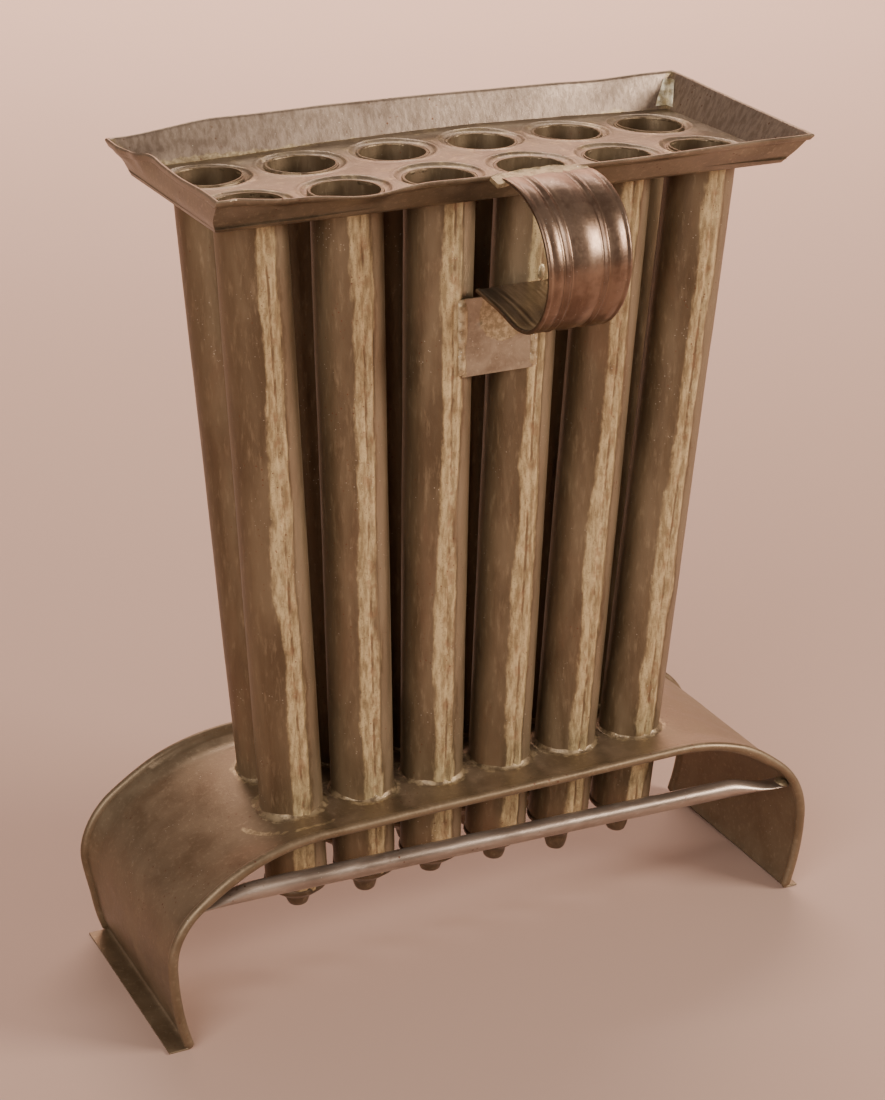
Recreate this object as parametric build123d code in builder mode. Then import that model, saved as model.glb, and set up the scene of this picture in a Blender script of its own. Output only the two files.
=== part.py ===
from build123d import *
import math
import os

os.makedirs("parts", exist_ok=True)

# ---------------------------------------------------------------------------
# Twelve-tube tin candle mold.  Millimetres.
# +X runs along the tray, +Y goes away from the handle, +Z is up and z = 0 is
# the table under the feet of the arched base.  The origin is under the middle
# of the whole mold, handle included.
# ---------------------------------------------------------------------------

MIDDLE_Y = 16.8          # Y of the plane midway between the two rows of tubes

# tubes: six columns, two rows, all leaning in towards the middle of the base
COLUMNS = 6
HOLE_Z = 261.0           # level at which the top pitches are measured
HOLE_PITCH = 30.0        # column pitch at HOLE_Z
PITCH_SLOPE = 0.0270     # column pitch lost per millimetre of height
ROW_HALF = 16.0          # half of the row pitch at HOLE_Z
ROW_SLOPE = {-1: 0.0152, 1: 0.0217}    # front and back row: half pitch lost per millimetre
ROW_LEAN = {-1: 0.0125, 1: 0.0}        # the front row's lower ends stand a little to the left
TUBE_TOP = 260.4
TUBE_BOTTOM = 36.0
TUBE_R_TOP = 10.6
TUBE_R_BOTTOM = 10.0
TUBE_WALL = 0.45
LAP_ANGLE = 18.0         # width of the soldered lap seam around the tube
LAP_RISE = 0.45

# pointed tips with the wick hole
TIP_CONE = 6.5
TIP_NOZZLE = 4.2
TIP_WAIST_R = 3.9
TIP_END_R = 2.4
WICK_R = 1.0

# tray: the rim dips to the front, where the wall leans out most
TRAY_X = 184.0           # outline at the bottom edge of the walls
TRAY_Y = 67.4
TRAY_BOTTOM = 258.0
TRAY_FLOOR = 260.8       # top of the floor sheet
TRAY_SHEET = 0.6
RIM_BACK = (39.3, 271.0)        # Y from the middle, and Z, of the outer edge of the rim
RIM_FRONT = (-42.7, 267.6)
FLARE_X = 5.2
HEM = 2.0                # height of the folded hem
HEM_RISE = 0.5           # how far it stands out
DISH_R = 12.4            # funnel mouth on the tray floor
DISH_LOW_R = 10.95
DISH_DEPTH = 2.6

# arched base: middle line of the sheet, right half
ARCH_SHEET = 0.6
ARCH_HALF_Y = 38.0
ARCH_FLAT = 62.0
ARCH_TOP = 63.4
ARCH_KNEE = (103.1, 50.2)
ARCH_SIDE = (114.4, 28.2)
ARCH_FOOT = (109.8, 0.3)
EDGE_ROLL_R = 1.6        # rolled edge of the sheet
EDGE_WIRE_R = 1.0        # wire inside the rolled edge
FLANGE_LEFT = 7.0
FLANGE_RIGHT = 4.0

# brace rods under the arch
ROD_R = 2.75
ROD_WALL = 0.5
ROD_Y = 33.0
ROD_Z = 45.2
ROD_TILT = 0.0335        # the rods drop towards +X
ROD_ROUND = 94.0         # half length of the round stretch
ROD_FLAT = {-1: 11.5, 1: 16.5}  # length of the left and right pinched ends
ROD_DROOP = 2.0          # the pinched ends lie level with the underside of the pipe

# handle strap and its lower bracket
STRAP_X = 4.0
STRAP_WIDTH_TOP = 28.5
STRAP_WIDTH_LOW = 24.5
STRAP_SHEET = 0.8
STRAP_BEAD_R = 0.85
BRACKET_LEFT = -12.0
BRACKET_RIGHT = 11.7
BRACKET_LOW = 202.0
BRACKET_HIGH = 226.4
BRACKET_SHEET = 0.6


def column_x(index, side, z):
    """X of a tube axis at height z; side is -1 for the front row, +1 for the back."""
    pitch = HOLE_PITCH + (z - HOLE_Z) * PITCH_SLOPE
    return (index - (COLUMNS - 1) / 2) * pitch + (z - HOLE_Z) * ROW_LEAN[side]


def row_y(side, z):
    """Y of a tube axis at height z."""
    return MIDDLE_Y + side * (ROW_HALF + (z - HOLE_Z) * ROW_SLOPE[side])


def level(z):
    """Horizontal plane at height z, centred between the rows."""
    return Plane(origin=(0, MIDDLE_Y, z), x_dir=(1, 0, 0), z_dir=(0, 0, 1))


def upright(y):
    """Vertical plane along the tray; local x is X, local y is Z, y is measured from the middle."""
    return Plane(origin=(0, MIDDLE_Y + y, 0), x_dir=(1, 0, 0), z_dir=(0, -1, 0))


def side_plane(x):
    """Vertical plane across the tray; local x is Y from the middle, local y is Z."""
    return Plane(origin=(x, MIDDLE_Y, 0), x_dir=(0, 1, 0), z_dir=(1, 0, 0))


def tube_point(index, side, z):
    return Vector(column_x(index, side, z), row_y(side, z), z)


def tube_axis(index, side):
    """Unit vector along the tube, pointing up."""
    return (tube_point(index, side, TUBE_TOP) - tube_point(index, side, TUBE_BOTTOM)).normalized()


def tube_length(index, side):
    return (tube_point(index, side, TUBE_TOP) - tube_point(index, side, TUBE_BOTTOM)).length


def tube_radius(z):
    """Outer radius of a tube at height z."""
    return TUBE_R_BOTTOM + (TUBE_R_TOP - TUBE_R_BOTTOM) * (z - TUBE_BOTTOM) / (TUBE_TOP - TUBE_BOTTOM)


def cross_plane(index, side, z):
    """Plane square to the tube axis at height z."""
    return Plane(origin=tube_point(index, side, z), x_dir=(1, 0, 0), z_dir=tube_axis(index, side))


def profile_plane(index, side, z, turn):
    """Plane holding the tube axis; local x points outward at `turn` degrees, local y up the tube."""
    axis = tube_axis(index, side)
    flat = Vector(math.cos(math.radians(turn)), math.sin(math.radians(turn)), 0)
    outward = (flat - axis * flat.dot(axis)).normalized()
    return Plane(origin=tube_point(index, side, z), x_dir=outward, z_dir=outward.cross(axis))


def axis_at(index, side, z):
    return Axis(tube_point(index, side, z), tube_axis(index, side))


SIDES = {"front": -1, "back": 1}
tubes = {}

# ---- tubes: one rolled sheet each, with the lap seam on the outside of the row ----
for row, side in SIDES.items():
    for index in range(COLUMNS):
        length = tube_length(index, side)
        seam = 90 * side - LAP_ANGLE / 2
        with BuildPart() as tube:
            with BuildSketch(profile_plane(index, side, TUBE_BOTTOM, seam)):
                Polygon(
                    (TUBE_R_BOTTOM - TUBE_WALL, 0),
                    (TUBE_R_BOTTOM, 0),
                    (TUBE_R_TOP, length),
                    (TUBE_R_TOP - TUBE_WALL, length),
                    align=None,
                )
            revolve(axis=axis_at(index, side, TUBE_BOTTOM))
            with BuildSketch(profile_plane(index, side, TUBE_BOTTOM, seam)):
                Polygon(
                    (TUBE_R_BOTTOM - TUBE_WALL / 2, 0),
                    (TUBE_R_BOTTOM + LAP_RISE, 0),
                    (TUBE_R_TOP + LAP_RISE, length - 4.5),
                    (TUBE_R_TOP - TUBE_WALL / 2, length - 4.5),
                    align=None,
                )
            revolve(axis=axis_at(index, side, TUBE_BOTTOM), revolution_arc=LAP_ANGLE)
        name = f"tube_{row}_{index + 1}"
        tube.part.label = name
        export_step(tube.part, f"parts/{name}.step")
        tubes[name] = tube.part

# ---- tips: spun cones closing the tube ends, each with a nozzle and a wick hole ----
for row, side in SIDES.items():
    for index in range(COLUMNS):
        r_top = TUBE_R_BOTTOM
        with BuildPart() as tip:
            with BuildSketch(profile_plane(index, side, TUBE_BOTTOM, 0)):
                Polygon(
                    (r_top, 0),
                    (r_top, -1.2),
                    (TIP_WAIST_R, -TIP_CONE),
                    (TIP_END_R, -TIP_CONE - TIP_NOZZLE),
                    (WICK_R, -TIP_CONE - TIP_NOZZLE),
                    (WICK_R, -TIP_CONE - TIP_NOZZLE + 0.6),
                    (TIP_WAIST_R - 0.7, -TIP_CONE + 0.3),
                    (r_top - 0.6, -1.0),
                    (r_top - 0.6, 0),
                    align=None,
                )
            revolve(axis=axis_at(index, side, TUBE_BOTTOM))
        name = f"tip_{row}_{index + 1}"
        tip.part.label = name
        export_step(tip.part, f"parts/{name}.step")

# ---- tray: flared pan with twelve dished holes ----
rim_span = math.dist(RIM_BACK, RIM_FRONT)
rim_plane = Plane(
    origin=(0, MIDDLE_Y + (RIM_BACK[0] + RIM_FRONT[0]) / 2, (RIM_BACK[1] + RIM_FRONT[1]) / 2),
    x_dir=(1, 0, 0),
    z_dir=(0, RIM_FRONT[1] - RIM_BACK[1], RIM_BACK[0] - RIM_FRONT[0]),
)
wall_height = (RIM_BACK[1] + RIM_FRONT[1]) / 2 - TRAY_BOTTOM
back_rate = (RIM_BACK[0] - TRAY_Y / 2) / (RIM_BACK[1] - TRAY_BOTTOM)      # lean of the back wall
front_rate = (-RIM_FRONT[0] - TRAY_Y / 2) / (RIM_FRONT[1] - TRAY_BOTTOM)
side_rate = FLARE_X / wall_height


def rim_outline(drop, grow):
    """Outline of the walls in the rim plane lowered by drop, grown outward by grow."""
    front = rim_span / 2 - front_rate * drop + grow
    back = rim_span / 2 - back_rate * drop + grow
    across = TRAY_X / 2 + FLARE_X - side_rate * drop + grow
    with BuildSketch(rim_plane.offset(-drop)) as outline:
        with Locations((0, (back - front) / 2)):
            RectangleRounded(2 * across, front + back, 1.5)
    return outline.sketch


floor_level = TRAY_FLOOR - TRAY_SHEET - TRAY_BOTTOM
floor_back = TRAY_Y / 2 + back_rate * floor_level - TRAY_SHEET / 2
floor_front = TRAY_Y / 2 + front_rate * floor_level - TRAY_SHEET / 2
floor_across = TRAY_X / 2 + side_rate * floor_level - TRAY_SHEET / 2
with BuildPart() as tray:
    with BuildSketch(level(TRAY_BOTTOM)):
        RectangleRounded(TRAY_X, TRAY_Y, 1.5)
    add(rim_outline(0, 0))
    loft()
    # folded hem along the rim
    add(rim_outline(HEM, HEM_RISE))
    add(rim_outline(0, HEM_RISE))
    loft()
    # the hollow between the walls
    with BuildSketch(level(TRAY_BOTTOM)):
        RectangleRounded(TRAY_X - 2 * TRAY_SHEET, TRAY_Y - 2 * TRAY_SHEET, 1.2)
    add(rim_outline(0, -TRAY_SHEET - 0.1))
    loft(mode=Mode.SUBTRACT)
    # floor
    with BuildSketch(level(TRAY_FLOOR - TRAY_SHEET)):
        with Locations((0, (floor_back - floor_front) / 2)):
            RectangleRounded(2 * floor_across, floor_back + floor_front, 1.2)
    extrude(amount=TRAY_SHEET)
    for side in SIDES.values():
        for index in range(COLUMNS):
            x, y = column_x(index, side, TRAY_FLOOR), row_y(side, TRAY_FLOOR)
            with BuildSketch(level(TRAY_FLOOR - 2)):
                with Locations((x, y - MIDDLE_Y)):
                    Circle(DISH_R)
            extrude(amount=3, mode=Mode.SUBTRACT)
            # funnel drawn down round the opening
            with BuildSketch(Plane(origin=(x, y, TRAY_FLOOR), x_dir=(1, 0, 0), z_dir=(0, -1, 0))):
                Polygon(
                    (DISH_R + 0.3, -TRAY_SHEET),
                    (DISH_R + 0.3, 0),
                    (DISH_R - 0.1, 0),
                    (DISH_LOW_R, -DISH_DEPTH),
                    (DISH_LOW_R + 0.6, -DISH_DEPTH),
                    (DISH_R - 0.1, -TRAY_SHEET),
                    align=None,
                )
            revolve(axis=Axis((x, y, 0), (0, 0, 1)))
tray.part.label = "tray_pan"
export_step(tray.part, "parts/tray_pan.step")

# ---- arched base: bent sheet with rolled long edges and turned-out foot flanges ----
def draw_arch_line(foot):
    """Middle line of the arch sheet, ending at the height of `foot` on both legs."""
    top = Line((-ARCH_FLAT, ARCH_TOP), (ARCH_FLAT, ARCH_TOP))
    shoulder = TangentArc(top @ 1, ARCH_KNEE, tangent=top % 1)
    bulge = TangentArc(shoulder @ 1, ARCH_SIDE, tangent=shoulder % 1)
    leg = TangentArc(bulge @ 1, foot, tangent=bulge % 1)
    mirror([shoulder, bulge, leg], about=Plane.YZ)


roll_foot = (ARCH_FOOT[0] + 0.35, ARCH_FOOT[1] + 1.7)
with BuildPart() as arch:
    with BuildSketch(upright(0)):
        with BuildLine():
            draw_arch_line(ARCH_FOOT)
            Line(ARCH_FOOT, (ARCH_FOOT[0] + FLANGE_RIGHT, ARCH_FOOT[1]))
            Line((-ARCH_FOOT[0], ARCH_FOOT[1]), (-ARCH_FOOT[0] - FLANGE_LEFT, ARCH_FOOT[1]))
            offset(amount=ARCH_SHEET / 2, side=Side.BOTH)
        make_face()
    extrude(amount=ARCH_HALF_Y, both=True)
    # rolled edges
    for side in SIDES.values():
        with BuildLine(upright(side * ARCH_HALF_Y)) as roll_line:
            draw_arch_line(roll_foot)
        spine = roll_line.wire()
        with BuildSketch(Plane(origin=spine @ 0, z_dir=spine % 0)):
            Circle(EDGE_ROLL_R)
        sweep(path=spine)
    for side in SIDES.values():
        with BuildLine(upright(side * ARCH_HALF_Y)) as roll_line:
            draw_arch_line(roll_foot)
        spine = roll_line.wire()
        with BuildSketch(Plane(origin=spine @ 0, z_dir=spine % 0)):
            Circle(EDGE_WIRE_R)
        sweep(path=spine, mode=Mode.SUBTRACT)
    # holes the tubes pass through
    for side in SIDES.values():
        for index in range(COLUMNS):
            with BuildSketch(cross_plane(index, side, ARCH_TOP)):
                Circle(tube_radius(ARCH_TOP) + LAP_RISE + 0.25)
            extrude(amount=6, both=True, mode=Mode.SUBTRACT)
arch.part.label = "arch_base"
export_step(arch.part, "parts/arch_base.step")

# ---- iron wires inside the rolled edges ----
for row, side in SIDES.items():
    with BuildPart() as wire:
        with BuildLine(upright(side * ARCH_HALF_Y)) as wire_line:
            draw_arch_line(roll_foot)
        spine = wire_line.wire()
        with BuildSketch(Plane(origin=spine @ 0, z_dir=spine % 0)):
            Circle(EDGE_WIRE_R)
        sweep(path=spine)
    wire.part.label = f"edge_wire_{row}"
    export_step(wire.part, f"parts/edge_wire_{row}.step")

# ---- brace rods: tin rolled into a pipe, both ends pinched flat against the legs ----
rods = {}
rod_dir = Vector(1, 0, -ROD_TILT).normalized()
for row, side in SIDES.items():
    with BuildPart() as rod:
        for end in (-1, 1):
            middle = Plane(
                origin=Vector(0, MIDDLE_Y + side * ROD_Y, ROD_Z),
                x_dir=(0, 1, 0),
                z_dir=rod_dir * end,
            )
            down = -ROD_DROOP if middle.y_dir.Z > 0 else ROD_DROOP
            with BuildSketch(middle):
                Circle(ROD_R)
            with BuildSketch(middle.offset(ROD_ROUND)):
                Circle(ROD_R)
            loft()
            with BuildSketch(middle.offset(ROD_ROUND)):
                Circle(ROD_R)
            with BuildSketch(middle.offset(ROD_ROUND + ROD_FLAT[end])):
                with Locations((0, down)):
                    Ellipse(3.6, 0.8)
            loft()
            with BuildSketch(middle):
                Circle(ROD_R - ROD_WALL)
            with BuildSketch(middle.offset(ROD_ROUND - 1)):
                Circle(ROD_R - ROD_WALL)
            loft(mode=Mode.SUBTRACT)
    rod.part.label = f"brace_rod_{row}"
    export_step(rod.part, f"parts/brace_rod_{row}.step")
    rods[row] = rod.part

# ---- bracket: plate bridging the two middle tubes under the handle ----
bracket_mid_z = (BRACKET_LOW + BRACKET_HIGH) / 2
bracket_face_y = row_y(-1, bracket_mid_z) - tube_radius(bracket_mid_z) - 0.1
lean = Vector(0, -ROW_SLOPE[-1] - (TUBE_R_TOP - TUBE_R_BOTTOM) / (TUBE_TOP - TUBE_BOTTOM), 1).normalized()
bracket_plane = Plane(
    origin=((BRACKET_LEFT + BRACKET_RIGHT) / 2, bracket_face_y, bracket_mid_z),
    x_dir=(1, 0, 0),
    z_dir=Vector(1, 0, 0).cross(lean),
)
with BuildPart() as bracket:
    with BuildSketch(bracket_plane):
        RectangleRounded(BRACKET_RIGHT - BRACKET_LEFT, BRACKET_HIGH - BRACKET_LOW, 0.8)
    extrude(amount=BRACKET_SHEET)
bracket.part.label = "handle_bracket"
export_step(bracket.part, "parts/handle_bracket.step")

# ---- handle: strap with hemmed sides and two raised beads, bent into a finger loop ----
strap_low_z = 221.0
strap_high_z = 268.0
with BuildPart() as strap:
    with BuildLine(side_plane(STRAP_X)) as strap_line:
        Spline(
            (-42.8, 266.0),
            (-48.5, 266.9),
            (-58.5, 264.9),
            (-67.5, 258.6),
            (-72.2, 247.6),
            (-70.2, 236.2),
            (-63.0, 227.4),
            (-53.5, 224.6),
            (-41.0, 227.0),
            (-27.4, 228.9),
        )
    bend = strap_line.wire()
    with BuildSketch(Plane(origin=bend @ 0, x_dir=(1, 0, 0), z_dir=bend % 0)):
        Rectangle(STRAP_WIDTH_TOP + 4, STRAP_SHEET)
        with Locations((-5.0, STRAP_SHEET / 2 - 0.25), (5.0, STRAP_SHEET / 2 - 0.25)):
            Circle(STRAP_BEAD_R)
    sweep(path=bend)
    # sides taper from the tray down to the bracket
    high = STRAP_WIDTH_TOP / 2
    low = STRAP_WIDTH_LOW / 2
    with BuildSketch(upright(0)):
        Polygon(
            (STRAP_X - low, strap_low_z),
            (STRAP_X + low, strap_low_z),
            (STRAP_X + high, strap_high_z),
            (STRAP_X - high, strap_high_z),
            align=None,
        )
    extrude(amount=90, mode=Mode.INTERSECT)
strap.part.label = "handle_strap"
export_step(strap.part, "parts/handle_strap.step")

# ---- solder: every joint as its own bead, cut to lie exactly against the sheets ----
def tube_group(side):
    row = "front" if side < 0 else "back"
    return [tubes[f"tube_{row}_{index + 1}"] for index in range(COLUMNS)]


for row, side in SIDES.items():
    with BuildPart() as tray_solder:
        for index in range(COLUMNS):
            x, y = column_x(index, side, TRAY_FLOOR), row_y(side, TRAY_FLOOR)
            with BuildSketch(Plane(origin=(x, y, TRAY_FLOOR), x_dir=(1, 0, 0), z_dir=(0, -1, 0))):
                Polygon((10.4, -1.9), (11.4, -1.9), (12.1, -0.6), (10.4, -0.6), align=None)
            revolve(axis=Axis((x, y, 0), (0, 0, 1)))
        add(tray.part, mode=Mode.SUBTRACT)
        for piece in tube_group(side):
            add(piece, mode=Mode.SUBTRACT)
    tray_solder.part.label = f"solder_tray_{row}"
    export_step(tray_solder.part, f"parts/solder_tray_{row}.step")

    with BuildPart() as base_solder:
        for index in range(COLUMNS):
            r = tube_radius(ARCH_TOP)
            with BuildSketch(profile_plane(index, side, ARCH_TOP, 0)):
                Polygon((r - 0.2, -0.3), (r + 1.45, -0.3), (r + 1.45, 0.9), (r - 0.2, 3.2), align=None)
            revolve(axis=axis_at(index, side, ARCH_TOP))
        add(arch.part, mode=Mode.SUBTRACT)
        for piece in tube_group(side):
            add(piece, mode=Mode.SUBTRACT)
    base_solder.part.label = f"solder_base_{row}"
    export_step(base_solder.part, f"parts/solder_base_{row}.step")

# bead where the handle meets the tray rim
with BuildPart() as rim_solder:
    with BuildSketch(side_plane(STRAP_X)):
        Polygon((-41.2, 264.8), (-47.2, 266.6), (-44.2, 267.9), (-42.3, 267.9), align=None)
    extrude(amount=STRAP_WIDTH_TOP / 2 - 0.4, both=True)
    add(tray.part, mode=Mode.SUBTRACT)
    add(strap.part, mode=Mode.SUBTRACT)
rim_solder.part.label = "solder_handle_rim"
export_step(rim_solder.part, "parts/solder_handle_rim.step")

# beads along the bracket's two sides and under the lower end of the handle
with BuildPart() as bracket_solder:
    for x in (BRACKET_LEFT - 0.2, BRACKET_RIGHT + 0.2):
        with BuildSketch(bracket_plane.offset(-0.9)):
            with Locations((x - (BRACKET_LEFT + BRACKET_RIGHT) / 2, 0)):
                Rectangle(4.0, BRACKET_HIGH - BRACKET_LOW - 1.0)
        extrude(amount=1.9)
    with BuildSketch(side_plane(STRAP_X)):
        Polygon((-25.6, 225.4), (-32.0, 228.0), (-25.8, 228.8), align=None)
    extrude(amount=5.8, both=True)
    add(bracket.part, mode=Mode.SUBTRACT)
    add(strap.part, mode=Mode.SUBTRACT)
    for piece in tube_group(-1):
        add(piece, mode=Mode.SUBTRACT)
bracket_solder.part.label = "solder_bracket"
export_step(bracket_solder.part, "parts/solder_bracket.step")

# blobs holding the four pinched rod ends inside the legs
with BuildPart() as rod_solder:
    for side in SIDES.values():
        with BuildSketch(upright(side * ROD_Y)):
            for end in (-1, 1):
                x = end * (ROD_ROUND + ROD_FLAT[end] - 1.0)
                with Locations((x, ROD_Z - ROD_TILT * x - ROD_DROOP)):
                    Circle(2.6)
        extrude(amount=3.3, both=True)
    with BuildSketch(upright(0)):
        with BuildLine():
            draw_arch_line(ARCH_FOOT)
            Line(ARCH_FOOT, (-ARCH_FOOT[0], ARCH_FOOT[1]))
        make_face()
    extrude(amount=ARCH_HALF_Y, both=True, mode=Mode.INTERSECT)
    add(arch.part, mode=Mode.SUBTRACT)
    for piece in rods.values():
        add(piece, mode=Mode.SUBTRACT)
rod_solder.part.label = "solder_rods"
export_step(rod_solder.part, "parts/solder_rods.step")

# fillets of solder up the four mitred corners inside the tray
with BuildPart() as corner_solder:
    for end in (-1, 1):
        for back in (False, True):
            foot_y = floor_back if back else -floor_front
            top_y = (rim_span / 2 - 2.0) * (1 if back else -1)
            with BuildSketch(level(TRAY_FLOOR)):
                with Locations((end * (floor_across - 0.6), foot_y * (1 - 0.6 / abs(foot_y)))):
                    Circle(2.0)
            with BuildSketch(rim_plane.offset(-2.0)):
                with Locations((end * (TRAY_X / 2 + FLARE_X - 2.0), top_y)):
                    Circle(1.5)
            loft()
    with BuildSketch(level(TRAY_BOTTOM)):
        RectangleRounded(TRAY_X - 1.0, TRAY_Y - 1.0, 1.2)
    add(rim_outline(0, -0.5))
    loft(mode=Mode.INTERSECT)
    add(tray.part, mode=Mode.SUBTRACT)
corner_solder.part.label = "solder_tray_corners"
export_step(corner_solder.part, "parts/solder_tray_corners.step")
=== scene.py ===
"""Twelve-tube tin candle mold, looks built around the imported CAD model.

Shapes are worked out in millimetres in the row frame (+X along the tray, +Y away
from the handle, +Z up) and written to the meshes in metres.
"""

import itertools
import math

import bmesh
import bpy
import numpy as np
from mathutils import Matrix, Vector

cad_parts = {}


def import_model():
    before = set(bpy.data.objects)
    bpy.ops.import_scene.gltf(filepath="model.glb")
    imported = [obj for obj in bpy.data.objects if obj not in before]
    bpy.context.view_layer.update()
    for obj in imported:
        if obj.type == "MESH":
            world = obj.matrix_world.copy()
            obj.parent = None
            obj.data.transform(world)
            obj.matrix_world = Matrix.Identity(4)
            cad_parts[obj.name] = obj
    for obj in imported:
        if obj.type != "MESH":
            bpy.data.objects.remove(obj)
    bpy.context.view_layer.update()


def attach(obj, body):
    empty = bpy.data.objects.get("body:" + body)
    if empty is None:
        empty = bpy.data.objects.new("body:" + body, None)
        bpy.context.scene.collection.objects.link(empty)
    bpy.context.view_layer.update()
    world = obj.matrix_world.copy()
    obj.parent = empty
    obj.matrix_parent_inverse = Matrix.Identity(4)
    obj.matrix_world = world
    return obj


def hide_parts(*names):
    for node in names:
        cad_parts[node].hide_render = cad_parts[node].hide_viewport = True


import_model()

MM = 0.001
TAU = 2 * math.pi

# the mold's own dimensions, as in the CAD model
MIDDLE_Y = 16.8
COLUMNS = 6
TUBE_TOP, TUBE_BOTTOM = 260.4, 36.0
R_TOP, R_BOTTOM, WALL = 10.6, 10.0, 0.45
TRAY_HX, TRAY_HY = 92.0, 33.7
TRAY_LOW, TRAY_FLOOR = 258.0, 260.8
FLARE_X = 5.2
RIM_FRONT, RIM_BACK = (-42.7, 267.6), (39.3, 271.0)      # Y from the middle, and Z
ARCH_HY, ARCH_TOP, ARCH_FLAT = 38.0, 63.4, 62.0
KNEE, SIDE, FOOT = (103.1, 50.2), (114.4, 28.2), (109.8, 0.3)
ROLL_R = 1.6
ROD_Y, ROD_R, ROD_ENDS = 33.0, 3.05, (-105.5, 110.0)
ROD_Z, ROD_TILT, ROD_DROOP, PINCH_FROM = 45.2, 0.0335, 1.9, 86.0
BRACKET_X, BRACKET_Z = (-12.0, 11.7), (202.0, 226.4)
FLANGES = {1: 5.2, -1: 7.0}      # how far each foot flange reaches out
HALF_SHEET = 0.3
ROWS = {"front": -1, "back": 1}
ROW_SLOPE = {-1: 0.0152, 1: 0.0217}
ROW_LEAN = {-1: 0.0125, 1: 0.0}


# tube axes at this level: spacing along a row, distance of a row from the middle, spread per mm up
LEVEL, SPACING, ROW_OFF, SPREAD = 261.0, 30.0, 16.0, 0.0270


def column_x(index, side, z):
    """X of a tube's axis at height z."""
    return (index - 2.5) * (SPACING + (z - LEVEL) * SPREAD) + (z - LEVEL) * ROW_LEAN[side]


def row_y(side, z):
    """Y of a row's axes at height z."""
    return MIDDLE_Y + side * (ROW_OFF + (z - LEVEL) * ROW_SLOPE[side])


def tube_radius(z):
    """Outside radius of a tube at height z."""
    return R_BOTTOM + (R_TOP - R_BOTTOM) * (z - TUBE_BOTTOM) / (TUBE_TOP - TUBE_BOTTOM)


# ---- smooth helpers -------------------------------------------------------

def step(low, high, x):
    """Smooth step from 0 at low to 1 at high."""
    t = np.clip((np.asarray(x, float) - low) / (high - low), 0, 1)
    return t * t * (3 - 2 * t)


def bump(x):
    """Smooth hump, 1 at x = 0 and 0 beyond |x| = 1."""
    t = np.clip(1 - np.asarray(x, float) ** 2, 0, 1)
    return t * t


def _lattice(ix, iy, iz, seed):
    h = (ix * 374761393 + iy * 668265263 + iz * 2147483647 + seed * 1274126177) & 0xFFFFFFFF
    h = ((h ^ (h >> 13)) * 1103515245) & 0xFFFFFFFF
    h = ((h ^ (h >> 15)) * 668265263) & 0xFFFFFFFF
    return ((h ^ (h >> 16)) & 0xFFFFFF) / float(0xFFFFFF) * 2 - 1


def noise(p, size, seed=0):
    """Value noise in -1..1 over points p (..., 3); size is the feature size in mm."""
    q = np.asarray(p, float) / size
    cell = np.floor(q).astype(np.int64)
    f = q - cell
    f = f * f * (3 - 2 * f)
    total = np.zeros(q.shape[:-1])
    for corner in itertools.product((0, 1), repeat=3):
        weight = np.prod(np.where(corner, f, 1 - f), axis=-1)
        total += weight * _lattice(*np.moveaxis(cell + corner, -1, 0), seed)
    return total


def fbm(p, size, seed=0):
    """Noise in three octaves."""
    return sum(noise(p, size / 2 ** k, seed + 17 * k) / 2 ** k for k in range(3)) / 1.75


def line_noise(s, size, seed):
    """Noise along a line, at distances s."""
    s = np.asarray(s, float)
    return fbm(np.stack([s, 0 * s + 0.37, 0 * s + 0.71], -1), size, seed)


def line_normal(line):
    """Unit normals of a line of (across, up) points, to the left of its heading."""
    tangent = np.gradient(line, axis=0)
    tangent /= np.linalg.norm(tangent, axis=1, keepdims=True)
    return np.stack([-tangent[:, 1], tangent[:, 0]], -1)


def upright(line, y=0.0, sign=1):
    """Points (x, z) as points (x, y, z), mirrored in x where sign is -1."""
    return np.stack([sign * line[:, 0], np.full(len(line), y), line[:, 1]], -1)


# ---- mesh helpers ---------------------------------------------------------

def put(name, data):
    """A new object in the scene."""
    thing = bpy.data.objects.new(name, data)
    bpy.context.scene.collection.objects.link(thing)
    return thing


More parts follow.
